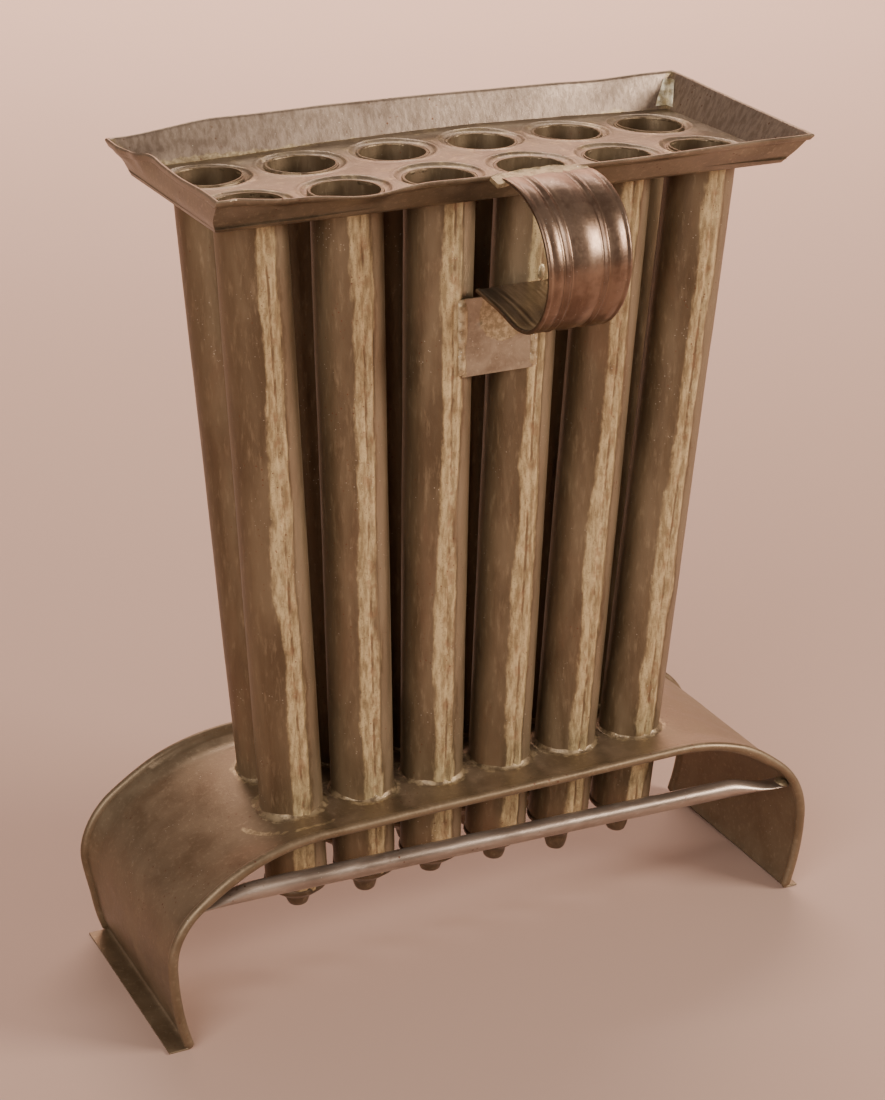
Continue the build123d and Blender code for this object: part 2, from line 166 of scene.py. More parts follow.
class Shell:
    """Collects patches of points and faces, with a lay-out (u, v) in mm and named masks."""

    def __init__(self):
        self.points, self.faces, self.lay, self.masks, self.count = [], [], [], {}, 0

    def add(self, points, faces, lay=None, **masks):
        points = np.asarray(points, float).reshape(-1, 3)
        n = len(points)
        self.points.append(points)
        self.lay.append(np.zeros((n, 2)) if lay is None else np.asarray(lay, float).reshape(-1, 2))
        for key in set(self.masks) | set(masks):
            have = self.masks.setdefault(key, [np.zeros(self.count)] if self.count else [])
            value = masks.get(key, 0.0)
            have.append(np.broadcast_to(np.asarray(value, float).reshape(-1), (n,)).copy())
        self.faces += [tuple(i + self.count for i in f) for f in faces]
        self.count += n

    def grid(self, points, lay=None, wrap_u=False, wrap_v=False, flip=False, **masks):
        """points is (rows, columns, 3)."""
        rows, cols = points.shape[:2]
        i, j = np.meshgrid(np.arange(rows if wrap_v else rows - 1),
                           np.arange(cols if wrap_u else cols - 1), indexing="ij")
        i, j = i.ravel(), j.ravel()
        i2, j2 = (i + 1) % rows, (j + 1) % cols
        quads = np.stack([i * cols + j, i * cols + j2, i2 * cols + j2, i2 * cols + j], -1)
        if flip:
            quads = quads[:, ::-1]
        self.add(points, quads.tolist(), lay, **masks)

    def edges(self, low, top, lay=None, flip=False, ends=None, **masks):
        """Strips that close the four edges between two grids; ends are the masks of the end strips."""
        lay = np.zeros(top.shape[:2] + (2,)) if lay is None else lay
        for k in (0, -1):
            turned = flip and k == 0
            side_lay = lay[:, [k, k]].transpose(1, 0, 2)
            self.grid(np.stack([low[k], top[k]]), lay[[k, k]], flip=turned, **(ends or masks))
            self.grid(np.stack([low[:, k], top[:, k]]), side_lay, flip=turned, **masks)

    def cap(self, ring, **masks):
        """One flat face over a ring."""
        self.add(ring, [tuple(range(len(ring)))], **masks)

    def fan(self, ring, tip):
        """Triangles from a ring to one point."""
        n = len(ring)
        self.add(np.concatenate([ring, [tip]]), [(k, (k + 1) % n, n) for k in range(n)])


def make(shell, name, material, nodes, sharp=40, weld=0.004, shift=None):
    """Turns a shell into a piece of the mold that stands for CAD nodes."""
    points = np.concatenate(shell.points)
    if shift is not None:
        points = points + shift(points)
    mesh = bpy.data.meshes.new(name)
    mesh.from_pydata((points * MM).tolist(), [], shell.faces)
    lay = np.concatenate(shell.lay)
    layer = mesh.uv_layers.new(name="lay")
    corner = np.zeros(len(mesh.loops), np.int32)
    mesh.loops.foreach_get("vertex_index", corner)
    layer.data.foreach_set("uv", lay[corner].astype(np.float32).ravel())
    for key, parts in shell.masks.items():
        attribute = mesh.attributes.new(key, "FLOAT", "POINT")
        attribute.data.foreach_set("value", np.concatenate(parts).astype(np.float32))
    bm = bmesh.new()
    bm.from_mesh(mesh)
    bmesh.ops.remove_doubles(bm, verts=bm.verts, dist=weld * MM)
    bmesh.ops.dissolve_degenerate(bm, edges=bm.edges, dist=weld * MM * 0.5)
    bmesh.ops.recalc_face_normals(bm, faces=bm.faces)
    bm.to_mesh(mesh)
    bm.free()
    mesh.shade_smooth()
    mesh.set_sharp_from_angle(angle=math.radians(sharp))
    mesh.materials.append(material)
    piece = put(name, mesh)
    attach(piece, "root")
    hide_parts(*nodes)


def ring_frame(index, side):
    """Tube axis: base point, unit axis, and two unit vectors square to it (across, outward)."""
    low = np.array([column_x(index, side, TUBE_BOTTOM), row_y(side, TUBE_BOTTOM), TUBE_BOTTOM])
    high = np.array([column_x(index, side, TUBE_TOP), row_y(side, TUBE_TOP), TUBE_TOP])
    axis = (high - low) / np.linalg.norm(high - low)
    outward = np.array([0.0, side, 0.0])
    outward -= axis * outward.dot(axis)
    outward /= np.linalg.norm(outward)
    across = np.cross(outward, axis) * -side
    if across[0] < 0:
        across = -across
    return low, axis, across, outward, np.linalg.norm(high - low)


# ---- materials ------------------------------------------------------------

class Graph:
    """A short hand for node trees: every method returns an output socket."""

    def __init__(self, name):
        self.material = bpy.data.materials.new(name)
        self.material.use_nodes = True
        self.tree = self.material.node_tree
        self.shader = self.tree.nodes["Principled BSDF"]
        self.place = self.node("ShaderNodeTexCoord").outputs["Object"]

    def node(self, kind, **settings):
        node = self.tree.nodes.new(kind)
        for key, value in settings.items():
            setattr(node, key, value)
        return node

    def feed(self, socket, value):
        if isinstance(value, bpy.types.NodeSocket):
            self.tree.links.new(value, socket)
        else:
            socket.default_value = value

    def scaled(self, stretch, source=None, offset=(0, 0, 0)):
        node = self.node("ShaderNodeMapping")
        self.feed(node.inputs["Vector"], source or self.place)
        node.inputs["Scale"].default_value = stretch
        node.inputs["Location"].default_value = offset
        return node.outputs[0]

    def noise(self, size, detail=4, rough=0.55, source=None, twist=0.0):
        """Noise whose features are about `size` mm."""
        node = self.node("ShaderNodeTexNoise")
        self.feed(node.inputs["Vector"], source or self.place)
        node.inputs["Scale"].default_value = 1 / (size * MM)
        node.inputs["Detail"].default_value = detail
        node.inputs["Roughness"].default_value = rough
        node.inputs["Distortion"].default_value = twist
        return node.outputs["Fac"]

    def spots(self, size, source=None):
        node = self.node("ShaderNodeTexVoronoi")
        self.feed(node.inputs["Vector"], source or self.place)
        node.inputs["Scale"].default_value = 1 / (size * MM)
        return node.outputs["Distance"]

    def math(self, operation, a, b=0.0):
        node = self.node("ShaderNodeMath", operation=operation)
        self.feed(node.inputs[0], a)
        self.feed(node.inputs[1], b)
        return node.outputs[0]

    def times(self, a, b):
        return self.math("MULTIPLY", a, b)

    def plus(self, a, b):
        return self.math("ADD", a, b)

    def wander(self, by, size, detail, rough, source=None):
        """Noise centred on 0, times `by`."""
        return self.times(self.math("SUBTRACT", self.noise(size, detail, rough, source), 0.5), by)

    def relief(self, *parts):
        """Sum of (field, weight) pairs, for the bump."""
        total = self.times(*parts[0])
        for part in parts[1:]:
            total = self.plus(total, self.times(*part))
        return total

    def ramp(self, value, low, high, out_low=0.0, out_high=1.0):
        node = self.node("ShaderNodeMapRange", interpolation_type="SMOOTHSTEP")
        self.feed(node.inputs["Value"], value)
        for key, number in zip(("From Min", "From Max", "To Min", "To Max"), (low, high, out_low, out_high)):
            node.inputs[key].default_value = number
        return node.outputs["Result"]

    def mix(self, factor, a, b):
        node = self.node("ShaderNodeMix", data_type="RGBA")
        self.feed(node.inputs[0], factor)
        for socket, value in ((node.inputs[6], a), (node.inputs[7], b)):
            self.feed(socket, value if isinstance(value, bpy.types.NodeSocket) else (*value, 1))
        return node.outputs[2]

    def attribute(self, name):
        return self.node("ShaderNodeAttribute", attribute_name=name).outputs["Fac"]

    def lay(self):
        """How far round the piece's own lay-out, in millimetres."""
        parts = self.node("ShaderNodeSeparateXYZ")
        self.feed(parts.inputs[0], self.node("ShaderNodeUVMap", uv_map="lay").outputs[0])
        return parts.outputs[0]

    def finish(self, color, rough, height, metal, bump_mm):
        shader = self.shader
        self.feed(shader.inputs["Base Color"], color)
        self.feed(shader.inputs["Roughness"], rough)
        self.feed(shader.inputs["Metallic"], metal)
        node = self.node("ShaderNodeBump")
        self.feed(node.inputs["Height"], height)
        node.inputs["Distance"].default_value = bump_mm * MM
        self.feed(shader.inputs["Normal"], node.outputs[0])
        return self.material


def aged_tin(g, dark, mid, light, blotch=9.0, streak=(1, 1, 0.22)):
    """Patina on tinplate: drawn-out blotches, fine mottling and dark pits. Returns color and fields."""
    long = g.scaled(streak)
    wide = g.noise(blotch, 6, 0.58, long, 0.4)
    fine = g.noise(1.6, 5, 0.65, long)
    grain = g.noise(0.35, 3, 0.6)
    color = g.mix(g.ramp(wide, 0.28, 0.70), dark, mid)
    color = g.mix(g.ramp(fine, 0.50, 0.84, 0, 0.75), color, light)
    color = g.mix(g.ramp(grain, 0.60, 0.78, 0, 0.25), color, light)
    pits = g.ramp(g.noise(0.8, 4, 0.7), 0.31, 0.24)
    color = g.mix(g.times(pits, 0.4), color, [c * 0.45 for c in dark])
    return color, wide, fine, grain, pits


def specks(g, color, tint, size=1.1, cut=0.16, gate_size=14.0, gate=0.52):
    """Scattered bright or rusty specks, gathered in patches."""
    near = g.ramp(g.spots(size), cut, cut * 0.55)
    patch = g.ramp(g.noise(gate_size, 3, 0.6), gate, gate + 0.12)
    return g.mix(g.times(near, patch), color, tint)


def tube_material():
    g = Graph("tube_tinplate")
    u = g.lay()
    color, wide, fine, grain, pits = aged_tin(
        g, (0.118, 0.078, 0.043), (0.200, 0.139, 0.079), (0.33, 0.243, 0.145))
    # reddish bloom in large soft patches
    red = g.ramp(g.noise(22, 4, 0.6, g.scaled((1, 1, 0.35), offset=(0.3, 0.1, 0.2))), 0.52, 0.70, 0, 0.45)
    color = g.mix(red, color, (0.20, 0.115, 0.065))
    # soldered band on both sides of the lap seam, with a ragged edge
    ragged = g.wander(9.0, 9, 5, 0.6, g.scaled((1, 1, 0.22)))
    tooth = g.wander(1.6, 1.3, 3, 0.6, g.scaled((1, 1, 0.5)))
    place = g.plus(u, g.plus(ragged, tooth))
    band = g.times(g.ramp(place, -4.0, -2.6), g.ramp(place, 3.3, 1.6))
    pale = g.mix(g.ramp(fine, 0.35, 0.62), (0.30, 0.215, 0.108), (0.62, 0.475, 0.255))
    pale = g.mix(g.ramp(g.noise(0.5, 3, 0.6), 0.45, 0.32, 0, 0.6), pale, (0.17, 0.112, 0.055))
    color = g.mix(g.times(band, 0.85), color, pale)
    # silvery rubbed tin on the far side of the seam
    rubbed = g.times(g.ramp(place, 3.2, 4.2), g.ramp(u, 9.5, 6.0))
    color = g.mix(g.times(rubbed, 0.45), color, (0.30, 0.225, 0.145))
    # rusty broken line in the seam
    line = g.math("ABSOLUTE", g.plus(u, g.wander(0.9, 5, 3, 0.6)))
    broken = g.ramp(g.noise(6, 4, 0.7, g.scaled((1, 1, 0.4))), 0.42, 0.58)
    rust = g.times(g.ramp(line, 0.55, 0.18), broken)
    color = g.mix(g.times(rust, 0.75), color, (0.105, 0.052, 0.026))
    stain = g.times(g.ramp(line, 2.6, 0.4, 0, 0.5), g.ramp(g.noise(4, 4, 0.7), 0.5, 0.62))
    color = g.mix(stain, color, (0.24, 0.12, 0.06))
    color = specks(g, color, (0.62, 0.55, 0.42), 1.3, 0.13)
    color = specks(g, color, (0.16, 0.06, 0.03), 1.9, 0.16, 18.0, 0.50)
    rough = g.ramp(wide, 0.3, 0.7, 0.36, 0.52)
    height = g.relief((fine, 0.8), (grain, 0.5), (pits, -0.9), (rust, -1.2))
    metal = g.ramp(band, 0, 1, 0.62, 0.40)
    return g.finish(color, rough, height, metal, 0.10)


def plain_tin(name, dark, mid, light, metal=0.85, rough=(0.36, 0.5), blotch=9.0, streak=(1, 1, 1),
              halo_and_painted_reflection=False, bump_mm=0.08):
    """Patinated sheet; with the halo switch, pale solder creeps out from the joints marked by the mask and
    the inner faces marked as inside get a painted mauve-grey reflection.
    """
    g = Graph(name)
    color, wide, fine, grain, pits = aged_tin(g, dark, mid, light, blotch, streak)
    if halo_and_painted_reflection:
        creep = g.ramp(g.plus(g.attribute("solder"), g.wander(1.5, 5, 5, 0.65)), 0.42, 0.62)
        pale = g.mix(g.ramp(fine, 0.4, 0.65), (0.24, 0.175, 0.095), (0.45, 0.345, 0.205))
        # painted reflection: the inner faces get the mauve-grey of the light backdrop they face, with fine
        # upright streaks
        reflection_streaks = g.ramp(g.noise(1.4, 4, 0.6, g.scaled((1, 1, 0.12))), 0.35, 0.65)
        painted_reflection = g.mix(reflection_streaks, (0.20, 0.140, 0.105), (0.33, 0.245, 0.19))
        color = g.mix(g.times(g.attribute("inside"), 0.7), color, painted_reflection)
        color = g.mix(g.times(creep, 0.85), color, pale)
    color = specks(g, color, (0.55, 0.48, 0.38), 1.5, 0.12)
    color = specks(g, color, (0.13, 0.055, 0.03), 2.4, 0.18, 20.0, 0.50)
    roughness = g.ramp(wide, 0.3, 0.7, *rough)
    height = g.relief((fine, 0.7), (grain, 0.4), (pits, -0.8))
    return g.finish(color, roughness, height, metal, bump_mm)


def solder_material(name="lead_tin_solder", deep=(0.26, 0.19, 0.105), high=(0.50, 0.39, 0.235),
                    glint=(0.80, 0.76, 0.64), metal=0.6):
    g = Graph(name)
    lump = g.noise(2.5, 5, 0.6)
    fine = g.noise(0.6, 4, 0.65)
    color = g.mix(g.ramp(lump, 0.36, 0.6), deep, high)
    color = g.mix(g.ramp(fine, 0.42, 0.30, 0, 0.6), color, [c * 0.45 for c in deep])
    color = specks(g, color, glint, 1.2, 0.20, 7.0, 0.48)
    rough = g.ramp(lump, 0.3, 0.7, 0.30, 0.5)
    height = g.relief((lump, 0.8), (fine, 0.6))
    return g.finish(color, rough, height, metal, 0.18)


def handle_material():
    g = Graph("handled_red_brown_tin")
    along = g.node("ShaderNodeUVMap", uv_map="lay").outputs[0]
    streak = g.noise(2.2, 5, 0.6, g.scaled((0.0011, 0.00022, 1), along))
    wide = g.noise(8, 5, 0.6)
    fine = g.noise(0.9, 4, 0.65)
    color = g.mix(g.ramp(wide, 0.36, 0.62), (0.150, 0.094, 0.064), (0.245, 0.165, 0.116))
    color = g.mix(g.ramp(streak, 0.45, 0.75, 0, 0.7), color, (0.26, 0.175, 0.115))
    color = g.mix(g.ramp(fine, 0.62, 0.74, 0, 0.5), color, (0.34, 0.25, 0.20))
    inside = g.attribute("inside")
    grey = g.mix(g.ramp(streak, 0.3, 0.7), (0.16, 0.120, 0.085), (0.25, 0.195, 0.145))
    color = g.mix(inside, color, grey)
    color = specks(g, color, (0.52, 0.46, 0.40), 1.2, 0.14, 9.0, 0.5)
    rough = g.ramp(fine, 0.3, 0.7, 0.28, 0.38)
    height = g.relief((fine, 0.6), (streak, 0.4))
    return g.finish(color, rough, height, 0.9, 0.05)


TUBE = tube_material()
TIP = plain_tin("tip_tinplate", (0.075, 0.050, 0.030), (0.145, 0.10, 0.06), (0.30, 0.22, 0.135),
                metal=0.6, blotch=5)
# the tray's inner faces get a painted reflection of the backdrop through the inside mask
TRAY = plain_tin("tray_tinplate", (0.150, 0.108, 0.070), (0.245, 0.184, 0.122), (0.42, 0.330, 0.225),
                 metal=0.6, rough=(0.28, 0.42), blotch=14, halo_and_painted_reflection=True)
ARCH = plain_tin("arch_tinplate", (0.146, 0.099, 0.057), (0.200, 0.142, 0.086), (0.31, 0.232, 0.146),
                 metal=0.62, rough=(0.36, 0.5), blotch=12, halo_and_painted_reflection=True)
ROD = plain_tin("rod_tinplate", (0.24, 0.180, 0.140), (0.40, 0.315, 0.255), (0.54, 0.44, 0.37), metal=0.75,
                rough=(0.28, 0.38), blotch=8, streak=(0.3, 1, 1), bump_mm=0.04)
BRACKET = plain_tin("bracket_tinplate", (0.21, 0.152, 0.102), (0.33, 0.250, 0.172), (0.48, 0.39, 0.27),
                    metal=0.65, rough=(0.34, 0.46), blotch=6, halo_and_painted_reflection=True)
WIRE = plain_tin("iron_wire", (0.05, 0.03, 0.02), (0.11, 0.07, 0.045), (0.22, 0.16, 0.12), metal=0.8)
SOLDER = solder_material()
MOUTH_SOLDER = solder_material(
    "mouth_solder", (0.12, 0.080, 0.045), (0.24, 0.168, 0.095), (0.50, 0.40, 0.25), 0.6)
BRIGHT_SOLDER = solder_material(
    "bright_solder", (0.42, 0.34, 0.20), (0.78, 0.70, 0.52), (0.95, 0.92, 0.82), 0.55)
BASE_SOLDER = solder_material(
    "base_solder", (0.135, 0.092, 0.052), (0.27, 0.195, 0.11), (0.66, 0.55, 0.36), 0.55)
HANDLE = handle_material()


# ---- tubes ----------------------------------------------------------------

def seam_angles(radius):
    """Angles from the seam, close together near it and wider round the far side."""
    close = np.linspace(-6.6, 6.6, 45) / radius
    far = np.linspace(close[-1], TAU + close[0], 46)[1:-1]
    return np.concatenate([close, far])


def seam_relief(s, z, side, index):
    """Height in mm of lap, solder ridge and solder band over the bare tube."""
    key = 31 * index + (7 if side > 0 else 0)
    flow = line_noise(z, 16, key + 1)
    lumps = line_noise(z, 4.5, key + 2)
    fade = step(TUBE_TOP - 1.5, TUBE_TOP - 5.5, z)
    ridge = (0.50 + 0.16 * lumps) * bump((s - 1.75 - 0.25 * flow) / (1.55 + 0.3 * flow))
    band = (0.20 + 0.10 * lumps) * step(-5.4 - flow, -3.2 - flow, s) * step(-0.1, -0.9, s)
    groove = -0.14 * bump(s / 0.45)
    return (ridge + band) * fade + groove


def tube_piece(row, index):
    side = ROWS[row]
    low, axis, across, outward, length = ring_frame(index, side)
    length += mouth_level(index, side) - TUBE_TOP
    angles = seam_angles(10.3)
    t = np.linspace(0, 1, 136)
    tt, aa = np.meshgrid(t, angles, indexing="ij")
    z = TUBE_BOTTOM + tt * (TUBE_TOP - TUBE_BOTTOM)
    base = R_BOTTOM + (R_TOP - R_BOTTOM) * tt
    u = np.where(aa > math.pi, aa - TAU, aa) * base
    centre = low + axis * (tt * length)[..., None]
    direction = across * np.sin(aa)[..., None] + outward * np.cos(aa)[..., None]
    bare = centre + direction * base[..., None]
    dents = 0.16 * fbm(bare * [1, 1, 0.35], 13, 5 + index) + 0.03 * noise(bare, 2.4, 9)
    relief = np.where(np.abs(u) < 7, seam_relief(u, z, side, index), 0)
    relief = relief + dents * step(TUBE_TOP, TUBE_TOP - 8, z)
    # the sheet is opened at the back, so that the lay-out doesn't wrap there
    split = int(np.argmax(angles > math.pi))
    order = np.concatenate([np.arange(split, len(angles)), np.arange(0, split), [split]])
    outer = (bare + direction * relief[..., None])[:, order]
    inner = (centre + direction * (base - WALL)[..., None])[::9][:, order]
    lay = np.stack([u, z], -1)[:, order]
    lay[:, -1, 0] = angles[split] * base[:, 0]
    plain = np.stack([0 * z + 30, z], -1)[:, order]
    shell = Shell()
    shell.grid(outer, lay)
    shell.grid(inner, plain[::9], flip=True)
    for k in (0, -1):
        shell.grid(np.stack([inner[k], outer[k]]), plain[[k, k]])
    make(shell, f"tube_{row}_{index + 1}_sheet", TUBE, [f"tube_{row}_{index + 1}"], sharp=50)


def lathe(shell, low, axis, across, outward, profile, segments=40, rough=0.0, seed=0, size=2.0):
    """Closed profile of (radius, height) turned round the axis, with lumps of depth `rough`."""
    profile = np.array(profile, float)
    angles = np.linspace(0, TAU, segments, endpoint=False)
    direction = across * np.sin(angles)[:, None] + outward * np.cos(angles)[:, None]
    radius, height = profile.T[..., None, None]
    points = low + axis * height + direction * radius
    if rough:
        points = points + rough * direction * noise(points, size, seed)[..., None]
    shell.grid(points, wrap_u=True, wrap_v=True)


def fine_profile(corners, gap):
    """A closed polygon with extra points so that no span is longer than gap."""
    points = []
    for a, b in zip(corners, corners[1:] + corners[:1]):
        n = max(1, int(math.ceil(math.dist(a, b) / gap)))
        points += [(a[0] + (b[0] - a[0]) * k / n, a[1] + (b[1] - a[1]) * k / n) for k in range(n)]
    return points


# millimetres by which each nozzle is longer than in the CAD model
NOZZLE_EXTRA = {"front": (-0.8, 0.0, -1.3, 0.3, 2.7, 1.5), "back": (0.4, -0.5, 0.0, 0.8, -0.3, 0.6)}


def tip_piece(row, index):
    low, axis, across, outward, _ = ring_frame(index, ROWS[row])
    corners = [(10.0, 0), (10.05, -0.7), (9.6, -1.5), (6.9, -3.9), (4.7, -5.6), (4.0, -6.4), (3.7, -8.2),
               (3.2, -9.7), (2.8, -10.1), (1.1, -10.1), (1.0, -9.4), (3.0, -5.9), (8.9, -1.2), (9.4, 0)]
    extra = NOZZLE_EXTRA[row][index]
    corners = [(r, h - extra * max(0.0, (-h - 3.9) / 6.8)) for r, h in corners]
    shell = Shell()
    lathe(shell, low, axis, across, outward, fine_profile(corners, 1.0), 44, 0.14, 40 + index, 3.0)
    # a soldered collar round the shoulder, thick on one side
    bead = [(9.9, 0.9), (10.35, 0.5), (10.4, -0.5), (10.1, -1.2), (9.6, -1.1), (9.6, 0.5)]
    lathe(shell, low, axis, across, outward, bead, 44, 0.16, 60 + index, 3.0)
    make(shell, f"tip_{row}_{index + 1}_spun", TIP, [f"tip_{row}_{index + 1}"], sharp=60)


# ---- polar cells: a flat rectangle with a round hole, sampled so that neighbours weld ----

def rectangle_ring(x0, x1, y0, y1, nx, ny):
    """Points round a rectangle, anticlockwise from its low corner."""
    bottom = [(x0 + (x1 - x0) * k / nx, y0) for k in range(nx)]
    right = [(x1, y0 + (y1 - y0) * k / ny) for k in range(ny)]
    top = [(x1 - (x1 - x0) * k / nx, y1) for k in range(nx)]
    left = [(x0, y1 - (y1 - y0) * k / ny) for k in range(ny)]
    return np.array(bottom + right + top + left)


def cell_points(centre, radius, box, nx, ny, steps):
    """(steps + 1, samples, 2) plan points from the hole edge out to the rectangle."""
    outer = rectangle_ring(*box, nx, ny)
    centre = np.array(centre)
    spoke = outer - centre
    length = np.linalg.norm(spoke, axis=1, keepdims=True)
    inner = centre + spoke / length * radius
    t = (np.linspace(0, 1, steps + 1) ** 1.25)[:, None, None]
    return inner[None] * (1 - t) + outer[None] * t


# ---- tray -----------------------------------------------------------------

HOLES = [(column_x(i, s, TRAY_FLOOR), row_y(s, TRAY_FLOOR)) for s in (-1, 1) for i in range(COLUMNS)]
MOUTH_R = 11.2


def crown(x):
    """Level of the tray floor, raised towards the middle."""
    return 260.0 + 2.0 * bump((np.asarray(x, float) - 12) / 95)


def mouth_level(index, side):
    """Height of the top of one tube."""
    return float(0.45 * TUBE_TOP + 0.55 * (crown(column_x(index, side, TRAY_FLOOR)) - 0.35))


def hole_gap(x, y):
    """Distance in mm from the nearest tube axis at tray level."""
    gaps = [np.hypot(x - hx, y - hy) for hx, hy in HOLES]
    return np.minimum.reduce(gaps)


def tray_shift(p):
    """Dents and bends of the tray walls, as an offset for every point."""
    x, y, z = p.T
    across = y - MIDDLE_Y
    up = step(261.4, 268.6, z)
    left, right = step(-88, -94, x), step(88, 94, x)
    front, back = step(-34, -38, across) * (1 - left), step(33, 36, across) * (1 - left)
    out = np.zeros_like(p)
    # a knock in the front rim, left of the second tube, and a straighter right half
    out[:, 1] += front * up * (-1.7 * bump((x + 52) / 15) + 1.3 * step(55, 80, x) + 1.6 * step(-78, -94, x))
    out[:, 2] += front * up * (-1.3 * bump((x + 50) / 20) - 0.3 * bump((x + 15) / 26)
                               + 0.3 * step(35, 60, x) + 1.7 * step(-70, -94, x))
    out[:, 2] += back * up * (0.5 * bump(x / 62) - 2.8 * step(-62, -94, x) - 0.5 * bump((x - 68) / 18))
    out[:, 1] += 0.45 * line_noise(x, 44, 4) * (front + back) * up
    out[:, 2] += 0.22 * line_noise(x, 30, 5) * (front + back) * up
    # the left wall leans in at its front half and is folded down at the back corner
    out[:, 0] += left * up * (2.6 * step(22, 4, across) + 1.2 * bump((across - 24) / 8))
    out[:, 2] += left * up * (1.7 * step(-10, -38, across) - 2.8 * step(8, 28, across)
                              + 0.5 * bump((across - 8) / 8))
    out[:, 0] += right * up * 0.7 * line_noise(y, 26, 8)
    out[:, 1] += 0.10 * noise(p, 7, 13) * up
    return out


def floor_height(x, y):
    """Level of the tray floor's top face, dished and lipped round the mouths."""
    gap = hole_gap(x, y)
    hammered = 0.22 * fbm(np.stack([x, y, 0 * x], -1), 11, 12)
    dish = -0.75 * step(14.2, MOUTH_R, gap)
    lip = 0.30 * bump((gap - 13.6) / 1.0)
    return crown(x) + dish + lip + hammered * step(11.6, 13.5, gap)


def wall_point(x, across, t, out):
    """Point of a tray wall: t runs from the bottom edge to the rim, out is millimetres outward."""
    flare = np.where(across < 0, -RIM_FRONT[0] - TRAY_HY, RIM_BACK[0] - TRAY_HY)
    px = x * (1 + (t * FLARE_X + out) / TRAY_HX)
    py = across * (1 + (t * flare + 1.15 * out) / TRAY_HY)
    share = (py - RIM_FRONT[0]) / (RIM_BACK[0] - RIM_FRONT[0])
    rim = RIM_FRONT[1] + share * (RIM_BACK[1] - RIM_FRONT[1])
    return np.stack([px, MIDDLE_Y + py, TRAY_LOW + t * (rim - TRAY_LOW) - 0.25 * out], -1)


# section of a wall as (t, out): up the inner face, over the hem and down the outer face
WALL_SECTION = [(t, -0.6) for t in (0.02, 0.1, 0.2, 0.3, 0.4, 0.5, 0.6, 0.7, 0.8, 0.88, 0.95)]
WALL_SECTION += [(0.985, -0.58), (1.01, -0.3), (1.02, 0.05), (1.0, 0.42), (0.965, 0.58), (0.90, 0.55),
                 (0.84, 0.50), (0.825, 0.35), (0.815, 0.02)]
WALL_SECTION += [(t, 0) for t in (0.7, 0.6, 0.5, 0.4, 0.3, 0.2, 0.1, 0.0)] + [(-0.02, -0.3)]
# the floor's edges lie inside the walls: half length, and Y from the middle
FLOOR_HX, FLOOR_FRONT, FLOOR_BACK = 92.8, -35.8, 34.35


def tray_piece():
    shell = Shell()
    # drawn collar round each tube end, as radius beyond the mouth and drop from the floor
    collar = ((0, 0), (-0.15, -0.5), (-0.25, -1.8), (0.3, -1.9), (0.45, -1.0), (0, -0.6))
    middles = [(HOLES[i][0] + HOLES[i + 1][0]) / 2 for i in range(5)]
    for k, (hx, hy) in enumerate(HOLES):
        x0, x1 = [-FLOOR_HX, *middles, FLOOR_HX][k % COLUMNS:][:2]
        y0, y1 = (FLOOR_FRONT, 0) if hy < MIDDLE_Y else (0, FLOOR_BACK)
        plan = cell_points((hx, hy), MOUTH_R, (x0, x1, MIDDLE_Y + y0, MIDDLE_Y + y1), 18, 18, 15)
        x, y = plan[..., 0], plan[..., 1]
        top = np.stack([x, y, floor_height(x, y)], -1)
        shell.grid(top, plan, wrap_u=True, **floor_masks(top))
        shell.grid(top - [0, 0, 2 * HALF_SHEET], plan, wrap_u=True, flip=True, solder=0.0)
        spoke = (top[0] - [hx, hy, 0]) * [1, 1, 0] / MOUTH_R
        rim = np.array([top[0] + spoke * r + [0, 0, z] for r, z in collar])
        shell.grid(rim, wrap_u=True, flip=True, solder=0.1)
    # walls: one cross-section carried round the rectangle, mitred at the corners
    xs = np.linspace(-TRAY_HX, TRAY_HX, 109)
    ys = np.linspace(-TRAY_HY, TRAY_HY, 45)
    around = [(x, -TRAY_HY) for x in xs[:-1]] + [(TRAY_HX, y) for y in ys[:-1]]
    around += [(-x, TRAY_HY) for x in xs[:-1]] + [(-TRAY_HX, -y) for y in ys[:-1]]
    around = np.array(around)
    rings = np.array([wall_point(around[:, 0], around[:, 1], t, out) for t, out in WALL_SECTION])
    # inner faces of the walls; the tray material gives them a painted reflection
    inner = np.array([out < -0.5 for _, out in WALL_SECTION])[:, None] * np.ones(len(around))[None]
    shell.grid(rings, wrap_u=True, wrap_v=True, flip=True, **wall_masks(rings, inner))
    make(shell, "tray_sheet", TRAY, ["tray_pan"], sharp=48, shift=tray_shift)


def floor_masks(points):
    """How strongly solder shows on the floor: round the mouths and along the back edge."""
    x, y = points[..., 0], points[..., 1]
    mouth = step(15.6, 12.8, hole_gap(x, y)) * 0.34
    back = step(31.0, 34.0, y - MIDDLE_Y) * (0.42 + 0.35 * step(10, -70, x))
    return {"solder": np.maximum.reduce([mouth + 0.08, back, 0.40 + 0 * x])}


def wall_masks(points, inner):
    """Solder creeping up the inner faces from the floor and out of the corners, and the inner faces that get
    a painted reflection.
    """
    x, across, z = points[..., 0], points[..., 1] - MIDDLE_Y, points[..., 2]
    foot = step(263.2, 260.6, z) * step(30, 33, across) * (0.5 + 0.3 * step(10, -70, x))
    corner_x = np.minimum(0, np.abs(x) - (TRAY_HX + 0.40 * (z - TRAY_LOW) - 0.6))
    flare = np.where(across < 0, 0.94, 0.43)
    corner_y = np.minimum(0, np.abs(across) - (TRAY_HY + flare * (z - TRAY_LOW) - 0.6))
    corner = step(4.5, 0.8, np.hypot(corner_x, corner_y)) * 0.7
    return {"solder": np.maximum(foot, corner) * inner, "inside": inner}


# ---- arched base ----------------------------------------------------------

